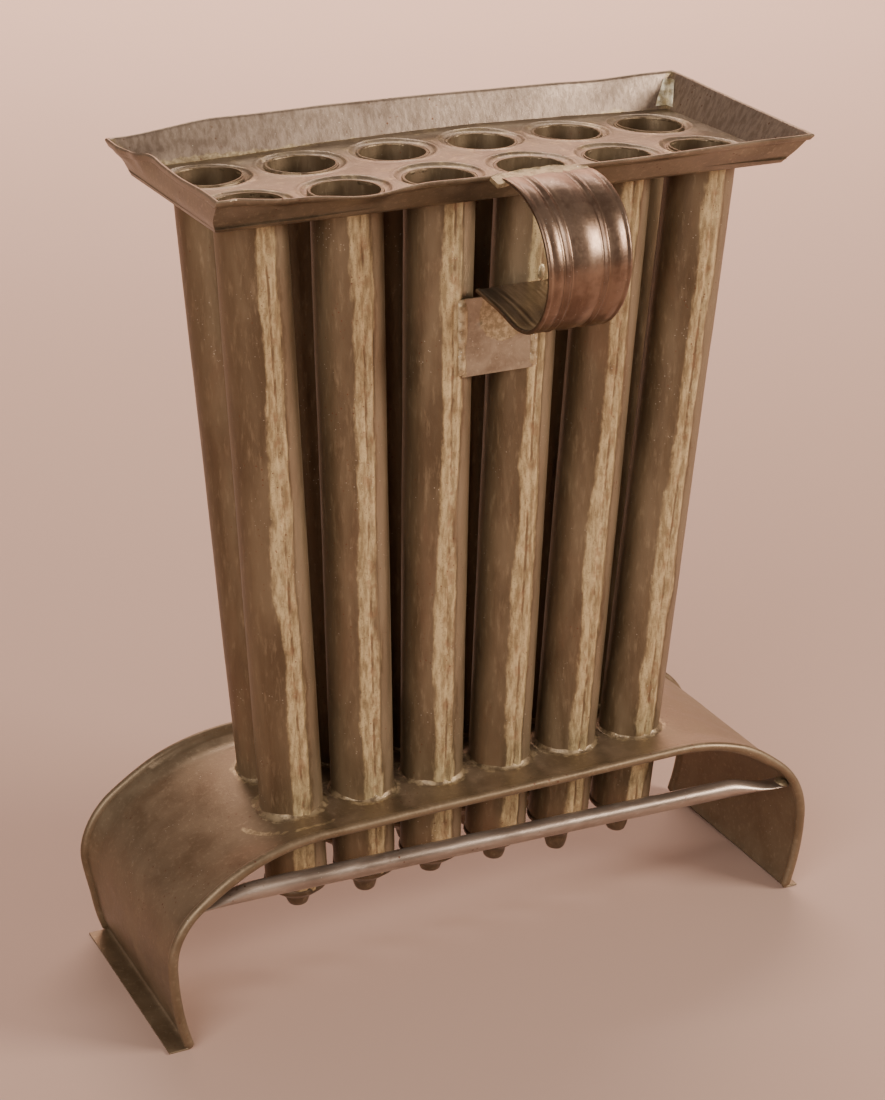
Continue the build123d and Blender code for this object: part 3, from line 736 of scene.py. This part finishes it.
def tangent_arc(start, heading, end, count):
    """Points on the arc that leaves start along heading and reaches end, and the heading there."""
    chord = np.subtract(end, start)
    half = math.atan2(heading[0] * chord[1] - heading[1] * chord[0], np.dot(heading, chord))
    t = np.linspace(0, 1, count)
    unit = chord * (np.sin(half * t) / math.sin(half))[:, None]
    # chord to parameter t is the full chord scaled and turned back by half * (1 - t)
    back = half * (t - 1)
    points = np.stack([unit[:, 0] * np.cos(back) - unit[:, 1] * np.sin(back),
                       unit[:, 0] * np.sin(back) + unit[:, 1] * np.cos(back)], -1) + start
    c, s = math.cos(2 * half), math.sin(2 * half)
    return points, (heading[0] * c - heading[1] * s, heading[0] * s + heading[1] * c)


def arch_half():
    """Middle line of the right half from the end of the flat to the foot: points (x, z)."""
    shoulder, heading = tangent_arc((ARCH_FLAT, ARCH_TOP), (1.0, 0.0), KNEE, 40)
    bulge, heading = tangent_arc(KNEE, heading, SIDE, 16)
    leg, heading = tangent_arc(SIDE, heading, FOOT, 16)
    return np.concatenate([shoulder, bulge[1:], leg[1:]])


HALF = arch_half()
SHOULDER_COUNT = 41       # points of HALF down to the start of the leg
CELL_EDGE = 77.0          # the cells with tube holes reach this far from the middle
HOLE_BAND = 24.0          # and this far each side of the middle plane


def arch_z(x):
    """Height of the sheet's middle line over the flat and the shoulders."""
    shoulder = np.concatenate([[(0, ARCH_TOP)], HALF[:SHOULDER_COUNT]])
    return np.interp(np.abs(x), shoulder[:, 0], shoulder[:, 1])


def arch_normal(x):
    """Unit normals of the sheet, pointing up."""
    slope = (arch_z(x + 0.05) - arch_z(x - 0.05)) / 0.1
    n = np.stack([-slope, 0 * slope, 1 + 0 * slope], -1)
    return n / np.linalg.norm(n, axis=-1, keepdims=True)


def base_gap(x, y):
    """Distance in mm from the nearest tube axis at the level of the base."""
    centres = [(column_x(i, s, ARCH_TOP), row_y(s, ARCH_TOP)) for s in (-1, 1) for i in range(COLUMNS)]
    return np.minimum.reduce([np.hypot(x - cx, y - cy) for cx, cy in centres])


def leg_stations(sign, flange):
    """Stations down one leg: middle-line points, outward normals, and how far the edge roll is opened."""
    keep = HALF[HALF[:, 0] > CELL_EDGE]
    first = np.array([[CELL_EDGE, float(arch_z(CELL_EDGE))]])
    line = np.concatenate([first, keep[:-1]])
    foot = [(FOOT[0] + 0.05, 1.5), (FOOT[0] + 0.35, 0.75), (FOOT[0] + 1.1, 0.36)]
    reach = np.linspace(2.2, flange, 6)
    line = np.concatenate([line, foot, [(FOOT[0] + r, 0.34) for r in reach]])
    opened = np.concatenate([np.zeros(len(keep)), [0.35, 0.7, 0.95], np.ones(6)])
    return upright(line, sign=sign), upright(line_normal(line), sign=sign), opened


ROLL_TURNS = np.linspace(0, 1, 15)


def edge_rolls(line, normal, opened, side, top_points, low_points):
    """Rolled long edge: rows of points running round the roll from the sheet's top face to its underside."""
    rows = []
    for p, n, o in zip(line, normal, opened):
        radius = ROLL_R * (1 - o) + (HALF_SHEET + 0.01) * o
        lift = 0.36 * (1 - o) if side > 0 else 0.0
        centre = p + np.array([0, MIDDLE_Y + side * (ARCH_HY - 0.05), 0]) + n * lift
        start = math.asin(HALF_SHEET / radius)
        angles = math.pi - start - (TAU - 2 * start) * ROLL_TURNS
        aside = np.array([0, side, 0])
        rows.append([centre + radius * (n * math.sin(a) + aside * math.cos(a)) for a in angles])
    rows = np.array(rows)
    rows[:, 0] = top_points
    rows[:, -1] = low_points
    return rows


def arch_masks(points):
    """Solder round the tubes, and a pale ring left by a spill outside the first front tube."""
    x, y, z = points[..., 0], points[..., 1], points[..., 2]
    near = step(15.5, 11.0, base_gap(x, y)) * 0.58 * (z > 55)
    first = np.hypot(x - column_x(0, -1, ARCH_TOP), y - row_y(-1, ARCH_TOP))
    stain = bump((first - 18.6) / 1.7) * step(4, -6, x - column_x(1, -1, ARCH_TOP) + 14) * (z > 52)
    return {"solder": np.maximum(near, stain * step(8, -4, y) * 0.9)}


def arch_piece():
    shell = Shell()
    count = 14                # spans along each side of a cell
    middles = [(column_x(i, -1, ARCH_TOP) + column_x(i + 1, 1, ARCH_TOP)) / 2 for i in range(5)]
    edges_x = [-CELL_EDGE, *middles, CELL_EDGE]
    hole_r = tube_radius(ARCH_TOP) + 0.45
    for side in (-1, 1):
        y0, y1 = (MIDDLE_Y - HOLE_BAND, MIDDLE_Y) if side < 0 else (MIDDLE_Y, MIDDLE_Y + HOLE_BAND)
        for i in range(COLUMNS):
            plan = cell_points((column_x(i, side, ARCH_TOP), row_y(side, ARCH_TOP)), hole_r,
                               (edges_x[i], edges_x[i + 1], y0, y1), count, count, 9)
            x, y = plan[..., 0], plan[..., 1]
            middle, half = np.stack([x, y, arch_z(x)], -1), arch_normal(x) * HALF_SHEET
            shell.grid(middle + half, plan, wrap_u=True, **arch_masks(middle + half))
            shell.grid(middle - half, plan, wrap_u=True, flip=True, solder=0.3)
            hole = np.stack([middle[0] + half[0], middle[0] - half[0]])
            shell.grid(hole, wrap_u=True, flip=True, solder=0.8)
    xs = [np.linspace(a, b, count, endpoint=False) for a, b in zip(edges_x[:-1], edges_x[1:])]
    xs = np.concatenate([*xs, [CELL_EDGE]])
    roll_y = ARCH_HY - math.sqrt(ROLL_R ** 2 - HALF_SHEET ** 2) - 0.05
    y_strip = np.linspace(HOLE_BAND, roll_y, 8)
    y_half = np.concatenate([np.linspace(0, HOLE_BAND, count + 1)[:-1], y_strip])
    y_all = np.concatenate([-y_half[::-1], y_half[1:]])
    flat = (np.stack([xs, 0 * xs, arch_z(xs)], -1), arch_normal(xs), np.zeros(len(xs)))
    # the flat has its cells already, so it only needs the strips beside them
    stretches = [(*flat, [y_strip, -y_strip[::-1]])]
    stretches += [(*leg_stations(sign, flange), [y_all]) for sign, flange in FLANGES.items()]
    for line, normal, opened, bands in stretches:
        half = normal * HALF_SHEET
        for ys in bands:
            middle = line[:, None] + np.stack([0 * ys, MIDDLE_Y + ys, 0 * ys], -1)
            top, low = middle + half[:, None], middle - half[:, None]
            shell.grid(top, top[..., :2], **arch_masks(top))
            shell.grid(low, low[..., :2], flip=True, solder=0.0)
        leg = len(bands) == 1
        if leg:
            shell.grid(np.stack([top[-1], low[-1]]), solder=0.0)
        for side in (-1, 1):
            base = line + [0, MIDDLE_Y + side * roll_y, 0]
            rows = edge_rolls(line, normal, opened, side, base + half, base - half)
            shell.grid(rows, flip=side < 0, solder=0.0)
            if leg:
                shell.cap(rows[-1], solder=0.0)
    make(shell, "arch_sheet", ARCH, ["arch_base"], sharp=55, shift=arch_shift)


def arch_shift(p):
    """Waves in the sheet, a raised front edge and the back lip bent up on the left."""
    x, y, z = p.T
    across = y - MIDDLE_Y
    out = np.zeros_like(p)
    out[:, 2] += (0.25 * fbm(p * [1, 1, 0.3], 26, 21)) * step(2.5, 12, z)
    out[:, 0] += np.sign(x) * 0.35 * fbm(p * [0.3, 1, 1], 30, 22) * step(62, 50, z) * step(1.0, 8.0, z)
    out[:, 2] += 1.4 * step(-24, -37, across) * step(50, 60, z)
    lip = 2.6 * step(30.5, 38.0, across) * step(25, -45, x) * step(14, 34, z)
    shoulder = step(88, 106, np.abs(x))
    out[:, 2] += lip * (1 - 0.75 * shoulder)
    out[:, 0] += np.sign(x) * lip * shoulder * 0.8
    # the left shoulder is knocked out a little at the front
    out[:, 0] -= 0.9 * step(-85, -104, x) * step(0, -30, across) * bump((z - 44) / 22)
    return out


def wire_piece(row):
    """Iron wire inside the rolled edge."""
    side = ROWS[row]
    leg = HALF[HALF[:, 1] > 1.6]
    flat = np.stack([np.linspace(-60, 60, 61), np.full(61, ARCH_TOP)], -1)
    line = np.concatenate([leg[::-1] * [-1, 1], flat, leg])
    a = np.linspace(0, TAU, 16, endpoint=False)[None, :, None]
    centre = upright(line, MIDDLE_Y + side * (ARCH_HY - 0.05))
    normal = upright(line_normal(line))
    points = centre[:, None] + normal[:, None] * np.cos(a) + np.array([0, 1, 0]) * np.sin(a)
    shell = Shell()
    shell.grid(points, wrap_u=True)
    for ring in (points[0], points[-1]):
        shell.cap(ring)
    make(shell, f"edge_wire_{row}_iron", WIRE, [f"edge_wire_{row}"], sharp=50, shift=arch_shift)


# ---- brace rods -----------------------------------------------------------

def rod_level(x):
    """Height of the rod's middle line; the pinched ends droop."""
    return ROD_Z - ROD_TILT * x - ROD_DROOP * step(PINCH_FROM, 106.0, np.abs(x))


def rod_piece(row):
    x = np.linspace(*ROD_ENDS, 90)
    pinch = step(PINCH_FROM, 105.0, np.abs(x))
    reach = np.stack([0 * x, ROD_R * (1 - pinch) + 3.5 * pinch, ROD_R * (1 - pinch) + 0.75 * pinch], -1)
    a = np.linspace(0, TAU, 32, endpoint=False)
    radial = np.stack([0 * a, np.cos(a), np.sin(a)], -1)
    centre = np.stack([x, 0 * x + MIDDLE_Y + ROWS[row] * ROD_Y, rod_level(x)], -1)
    # the lap of the rolled pipe shows as a fine groove
    groove = 0.16 * bump(np.angle(np.exp(1j * (a - 3.6))) / 0.16)
    points = centre[:, None] + radial * reach[:, None] - radial * groove[:, None]
    points = points + radial * (0.10 * fbm(points, 12, 31))[..., None]
    shell = Shell()
    shell.grid(points, wrap_u=True)
    for end, ring in ((-1, points[0]), (1, points[-1])):
        shell.fan(ring, ring.mean(0) + [end * 0.5, 0, 0])
    make(shell, f"brace_rod_{row}_pipe", ROD, [f"brace_rod_{row}"], sharp=50)


# ---- handle ---------------------------------------------------------------

STRAP_X = 4.0
STRAP_HEIGHTS, STRAP_HALVES = (221, 269), (12.25, 14.25)      # the strap is wider at the top
STRAP_LINE = [(-42.8, 266.0), (-48.5, 266.9), (-58.5, 264.9), (-67.5, 258.6), (-72.2, 247.6), (-70.2, 236.2),
              (-63.0, 227.4), (-53.5, 224.6), (-41.0, 227.0), (-27.4, 228.9)]


def smooth_curve(points, per_span):
    """Catmull-Rom curve through the points."""
    p = np.array(points, float)
    p = np.concatenate([[2 * p[0] - p[1]], p, [2 * p[-1] - p[-2]]])
    out = []
    for k in range(1, len(p) - 2):
        t = np.linspace(0, 1, per_span, endpoint=False)[:, None]
        a, b, c, d = p[k - 1], p[k], p[k + 1], p[k + 2]
        out.append(0.5 * (2 * b + (c - a) * t + (2 * a - 5 * b + 4 * c - d) * t ** 2
                          + (3 * b - a - 3 * c + d) * t ** 3))
    return np.concatenate(out + [p[-2:-1]])


def strap_section(w):
    """Relief of the strap's outer face over w in -1..1 across its width."""
    hem = 0.40 * bump((np.abs(w) - 0.95) / 0.07)
    beads = 0.46 * bump((w + 0.50) / 0.065) + 0.36 * bump((w - 0.40) / 0.05)
    valleys = -0.24 * (bump((w + 0.60) / 0.06) + bump((w + 0.40) / 0.06)
                       + bump((w - 0.32) / 0.05) + bump((w - 0.48) / 0.05))
    crowns = 0.55 * bump((w + 0.04) / 0.36) + 0.34 * bump((w + 0.76) / 0.18) + 0.42 * bump((w - 0.72) / 0.24)
    return hem + beads + valleys + crowns


def handle_piece():
    line = smooth_curve(STRAP_LINE, 12)
    normal = line_normal(line)      # away from the finger side
    middle = np.array([-52.0, 245.0])
    if np.dot(normal[40], line[40] - middle) < 0:
        normal = -normal
    w = np.linspace(-1, 1, 81)
    travel = np.concatenate([[0], np.cumsum(np.linalg.norm(np.diff(line, axis=0), axis=1))])
    half = np.interp(line[:, 1], STRAP_HEIGHTS, STRAP_HALVES)
    x = STRAP_X + w[None] * half[:, None]
    fade = (step(0, 9, travel) * step(travel[-1], travel[-1] - 8, travel))[:, None]
    relief = strap_section(w)[None] * (0.35 + 0.65 * fade)

    def face(offset):
        yz = line[:, None] + normal[:, None] * offset[..., None]
        return np.stack([x, MIDDLE_Y + yz[..., 0], yz[..., 1]], -1)

    outer = face(0.32 + relief)
    inner = face(-0.34 - 0.30 * bump((np.abs(w) - 0.94) / 0.09)[None] + 0.22 * relief * (np.abs(w) < 0.9))
    wobble = 0.12 * fbm(outer, 12, 51)
    outer[..., 2] += wobble
    inner[..., 2] += wobble
    lay = np.stack([x - STRAP_X, travel[:, None] + 0 * x], -1)
    shell = Shell()
    shell.grid(outer, lay, inside=0.0)
    shell.grid(inner, lay, flip=True, inside=1.0)
    shell.edges(inner, outer, lay, flip=True, ends={"inside": 0.5}, inside=0.0)
    make(shell, "handle_strap_ribbed", HANDLE, ["handle_strap"], sharp=38)


# ---- bracket --------------------------------------------------------------

def leaning_face(z):
    """Y of the plane resting on the fronts of the front tubes."""
    return row_y(-1, z) - tube_radius(z) - 0.1


def bracket_piece():
    zz, xx = np.meshgrid(np.linspace(*BRACKET_Z, 50), np.linspace(*BRACKET_X, 50), indexing="ij")
    y = leaning_face(zz)
    back = np.stack([xx, y, zz], -1)
    dent = 0.16 * fbm(back, 9, 61)
    dimple = 0.35 * bump(np.hypot(xx + 6.5, zz - 219.0) / 1.6)
    front = np.stack([xx, y - 0.6 + dent * 0.6 + dimple, zz], -1)
    patch = np.hypot((xx - 2.0) / 9.0, (zz - 221.0) / 9.5)
    solder = np.maximum(step(1.15, 0.85, patch) * 0.85, step(8.5, 12.3, np.abs(xx)) * 0.6)
    shell = Shell()
    lay = np.stack([xx, zz], -1)
    shell.grid(front, lay, solder=solder)
    shell.grid(back, lay, flip=True, solder=0.0)
    shell.edges(back, front, lay, solder=0.3)
    make(shell, "handle_bracket_plate", BRACKET, ["handle_bracket"], sharp=40)


# ---- solder ---------------------------------------------------------------

def base_solder(row):
    """Lumpy fillets where the tubes pass through the arched base."""
    side = ROWS[row]
    shell = Shell()
    segments = 72
    for index in range(COLUMNS):
        low, axis, across, outward, _ = ring_frame(index, side)
        cx, cy = column_x(index, side, ARCH_TOP), row_y(side, ARCH_TOP)
        r0 = tube_radius(ARCH_TOP)
        a = np.linspace(0, TAU, segments, endpoint=False)
        t = np.linspace(0, 1, 12)
        seed = 70 + index + (9 if side > 0 else 0)
        ring = np.stack([np.cos(a) * 9, np.sin(a) * 9, 0 * a + 10 * index], -1)
        width = np.clip(1.5 + 1.0 * noise(ring, 6, seed), 0.7, 3.0)
        tall = np.clip(1.5 + 0.9 * noise(ring, 4.5, seed + 1), 0.6, 2.8)
        r = r0 - 0.25 + t[:, None] * (width[None] + 0.25)
        h = tall[None] * (1 - t[:, None]) ** 1.8
        x, y = cx + r * np.cos(a), cy + r * np.sin(a)
        ground = arch_z(x) + 0.22
        lumps = 0.20 * noise(np.stack([x, y, ground], -1), 2.2, seed + 2) * np.sin(np.pi * t)[:, None]
        top = np.stack([x, y, ground + h + lumps], -1) + (h / axis[2])[..., None] * axis * [1, 1, 0]
        under = np.stack([x, y, ground - 0.25], -1)
        shell.grid(top, wrap_u=True)
        shell.grid(under, wrap_u=True, flip=True)
        for k in (0, -1):
            shell.grid(np.stack([under[k], top[k]]), wrap_u=True)
        # thin drips on the underside
        drip = [(r0 - 0.1, -1.4), (r0 + 0.9, -1.2), (r0 + 1.6, -0.35), (r0 + 1.5, -0.2), (r0 - 0.1, -0.2)]
        origin = low + axis * (ARCH_TOP - TUBE_BOTTOM)
        lathe(shell, origin, axis, across, outward, drip, 48, 0.35, seed + 3, 3.0)
    if row == "front":
        # the golden drop hanging under the sheet at the fourth tube
        blob(shell, (column_x(3, -1, 60) - 10.5, row_y(-1, 60) - 6.0, 61.8), (3.2, 2.0, 1.5), 190, 0.3)
    make(shell, f"solder_base_{row}_fillets", BASE_SOLDER, [f"solder_base_{row}"], sharp=60)


def tray_solder(row):
    """Thin beads in the gap between the drawn collars and the tube ends."""
    side = ROWS[row]
    shell = Shell()
    for index in range(COLUMNS):
        cx, cy = column_x(index, side, TRAY_FLOOR), row_y(side, TRAY_FLOOR)
        top = mouth_level(index, side)
        profile = [(10.2, top + 0.02), (10.5, top + 0.22), (10.9, top + 0.25), (11.3, top - 0.05),
                   (11.3, top - 0.9), (10.7, top - 1.2), (10.25, top - 0.9)]
        across, outward, axis = np.eye(3)
        lathe(shell, np.array([cx, cy, 0.0]), axis, across, outward, profile, 64, 0.12, 90 + index, 2.5)
    make(shell, f"solder_tray_{row}_beads", MOUTH_SOLDER, [f"solder_tray_{row}"], sharp=60)


def slab(shell, points, thick, direction):
    """Closed pad over a grid of points (rows, columns, 3), thick in a direction."""
    under = points + np.array(direction, float) * np.asarray(thick)[..., None]
    shell.grid(points)
    shell.grid(under, flip=True)
    shell.edges(under, points)


def rim_solder():
    """Cream bead over the rim where the handle strap starts."""
    u = np.linspace(-1, 1, 70)
    a = np.linspace(0, 1, 14)
    uu, aa = np.meshgrid(u, a, indexing="xy")
    x = STRAP_X - 0.9 + uu * 15.6
    edge = 1 + 0.25 * line_noise(x, 5, 101)
    y = -42.6 - aa * 4.6 * edge
    z = 268.3 - 1.2 * aa ** 0.8
    z = z + 0.22 * noise(np.stack([x, y, z], -1), 2.2, 102)
    taper = bump(uu * 0.93) ** 0.4
    top = np.stack([x, MIDDLE_Y + y, z - (1 - taper) * 1.2], -1)
    shell = Shell()
    slab(shell, top, np.full(x.shape, 1.3), (0, 0.35, -1))
    make(shell, "solder_handle_rim_bead", SOLDER, ["solder_handle_rim"], sharp=60)


def blob(shell, centre, radii, seed, lump=0.25, segments=28, rows=16):
    """A lumpy closed drop of solder."""
    theta = np.linspace(0, math.pi, rows)[1:-1]
    phi = np.linspace(0, TAU, segments, endpoint=False)
    tt, pp = np.meshgrid(theta, phi, indexing="ij")
    unit = np.stack([np.sin(tt) * np.cos(pp), np.sin(tt) * np.sin(pp), np.cos(tt)], -1)
    radii = np.array(radii, float)
    centre = np.array(centre)
    swell = 1 + lump * noise(unit * radii + centre, max(radii) * 0.8, seed)
    body = unit * radii * swell[..., None] + centre
    shell.grid(body, wrap_u=True)
    for ring, end in ((body[0], 1), (body[-1], -1)):
        shell.fan(ring, centre + [0, 0, end * radii[2]])


def bracket_strip(shell, x0, seed):
    """Smooth bead up one side of the bracket."""
    z = np.linspace(202.6, 226.2, 44)
    w = np.linspace(-1, 1, 11)
    zz, ww = np.meshgrid(z, w, indexing="ij")
    reach = 1.5 + 0.5 * line_noise(z, 7, seed)[:, None]
    x = x0 + ww * reach + 0.3 * line_noise(z, 5, seed + 1)[:, None]
    lift = 0.75 * (1 - ww ** 2) + 0.12 * noise(np.stack([x, 0 * x, zz], -1), 2.2, seed + 2)
    lift = lift * step(202.4, 204.5, zz) * step(226.4, 224.0, zz) + 0.1
    slab(shell, np.stack([x, leaning_face(zz) - 0.35 - lift, zz], -1), np.full(x.shape, 1.1), (0, 1, 0))


def bracket_solder():
    shell = Shell()
    for x0, seed in ((-12.2, 111), (11.9, 115)):
        bracket_strip(shell, x0, seed)
    for k in range(8):
        x = STRAP_X - 5.6 + 1.6 * k
        blob(shell, (x, -27.2 + MIDDLE_Y, 227.4), (1.4, 1.8, 0.8), 130 + k)
    blob(shell, (14.2, -25.8 + MIDDLE_Y, 231.6), (1.6, 0.9, 2.4), 140)
    make(shell, "solder_bracket_beads", SOLDER, ["solder_bracket"], sharp=60)


def rod_solder():
    shell = Shell()
    for s in (-1, 1):
        for end in (-1, 1):
            x = -103.6 if end < 0 else 108.8
            place = (x, MIDDLE_Y + s * ROD_Y, float(rod_level(x)) + 0.3)
            blob(shell, place, (2.4, 3.0, 1.3), 150 + s + 3 * end, 0.3)
    make(shell, "solder_rods_blobs", BASE_SOLDER, ["solder_rods"], sharp=60)


def corner_solder():
    """Strips of solder up the four mitred corners inside the tray."""
    shell = Shell()
    t = np.linspace(0, 1, 26)
    w = np.linspace(-1, 1, 15)
    for ex in (-1, 1):
        for ey in (-1, 1):
            big = 1.0 if (ex > 0 and ey > 0) else 0.55
            tt, ww = np.meshgrid(t, w, indexing="ij")
            corner_x, corner_y = np.full(tt.shape, ex * TRAY_HX), np.full(tt.shape, ey * TRAY_HY)
            cx, cy, z = np.moveaxis(wall_point(corner_x, corner_y, 0.24 + 0.6 * tt, -0.75), -1, 0)
            reach = (3.6 * big) * (1 - 0.35 * tt)
            x = cx - ex * np.clip(-ww, 0, 1) * reach * 1.2
            y = cy - ey * np.clip(ww, 0, 1) * reach
            lumps = noise(np.stack([x, y, z], -1), 2.4, 160 + 2 * ex + ey)
            lift = 0.55 * big * (1 - np.abs(ww) ** 2.2) + 0.30 * big * lumps
            top = np.stack([x - ex * lift, y - ey * lift, z + 0.3 * lift], -1)
            slab(shell, top, np.full(x.shape, 0.7), (ex * 0.7, ey * 0.7, -0.2))
    make(shell, "solder_tray_corner_strips", BRIGHT_SOLDER, ["solder_tray_corners"], sharp=60,
         shift=tray_shift)


# ---- build ----------------------------------------------------------------

for row in ROWS:
    for index in range(COLUMNS):
        tube_piece(row, index)
        tip_piece(row, index)
    rod_piece(row)
    base_solder(row)
    tray_solder(row)
tray_piece()
arch_piece()
handle_piece()
bracket_piece()
rim_solder()
bracket_solder()
rod_solder()
corner_solder()
for row in ROWS:
    wire_piece(row)


# ---- stage, lights and camera ---------------------------------------------

def backdrop():
    """Floor that sweeps up into the wall behind."""
    a = np.linspace(0, math.pi / 2, 24)[1:]
    y = np.concatenate([np.linspace(-3.0, 1.6, 30), 1.6 + 1.2 * np.sin(a), [2.8, 2.8]])
    z = np.concatenate([np.zeros(30), 1.2 - 1.2 * np.cos(a), [2.0, 3.5]])
    x = np.linspace(-4, 4, 9)
    points = np.stack([x[None] + 0 * y[:, None], y[:, None] + 0 * x[None], z[:, None] + 0 * x[None]], -1)
    turn = Matrix.Rotation(-YAW, 4, "Z")
    mesh = bpy.data.meshes.new("paper_sweep")
    rows, cols = points.shape[:2]
    quads = [(i * cols + j, i * cols + j + 1, (i + 1) * cols + j + 1, (i + 1) * cols + j)
             for i in range(rows - 1) for j in range(cols - 1)]
    mesh.from_pydata([turn @ Vector(p) for p in points.reshape(-1, 3).tolist()], [], quads)
    mesh.shade_smooth()
    g = Graph("paper")
    color = g.mix(g.noise(300, 2), (0.445, 0.295, 0.235), (0.465, 0.310, 0.246))
    g.feed(g.shader.inputs["Base Color"], color)
    g.shader.inputs["Roughness"].default_value = 0.75
    mesh.materials.append(g.material)
    put("paper_sweep", mesh)


def area_light(name, place, target, size, power, color):
    data = bpy.data.lights.new(name, "AREA")
    data.shape = "RECTANGLE"
    data.size, data.size_y = size
    data.energy, data.color = power, color
    light = put(name, data)
    light.location = place
    light.rotation_euler = (Vector(target) - Vector(place)).to_track_quat("-Z", "Y").to_euler()


YAW, PITCH, ROLL = math.radians(26.63), math.radians(23.45), math.radians(0.53)
LENS, SENSOR = 79.72, 36.0
CAMERA_AT = (-0.3244, -0.6203, 0.4436)


def camera():
    data = bpy.data.cameras.new("camera")
    data.lens, data.sensor_width, data.sensor_fit = LENS, SENSOR, "AUTO"
    forward = Vector((math.sin(YAW) * math.cos(PITCH), math.cos(YAW) * math.cos(PITCH), -math.sin(PITCH)))
    right = Vector((math.cos(YAW), -math.sin(YAW), 0))
    up = right.cross(forward)
    right, up = (math.cos(ROLL) * right + math.sin(ROLL) * up, -math.sin(ROLL) * right + math.cos(ROLL) * up)
    turn = Matrix((right, up, -forward)).transposed().to_4x4()
    eye = put("camera", data)
    eye.matrix_world = Matrix.Translation(CAMERA_AT) @ turn
    bpy.context.scene.camera = eye


def world():
    data = bpy.data.worlds.new("studio")
    bpy.context.scene.world = data
    data.use_nodes = True
    shade = data.node_tree.nodes["Background"]
    shade.inputs["Color"].default_value = (0.56, 0.47, 0.42, 1)
    shade.inputs["Strength"].default_value = 0.55


backdrop()
camera()
world()
AIM = (0.0, 0.0, 0.15)
area_light("key_right", (1.15, -0.85, 0.75), AIM, (0.6, 0.45), 28, (1.0, 0.90, 0.79))
area_light("fill_left", (-1.2, -1.0, 0.9), AIM, (1.1, 1.1), 26, (1.0, 0.94, 0.88))
area_light("top_back", (0.7, 1.6, 1.9), (1.1, 2.6, 0.4), (1.6, 1.0), 150, (1.0, 0.86, 0.76))
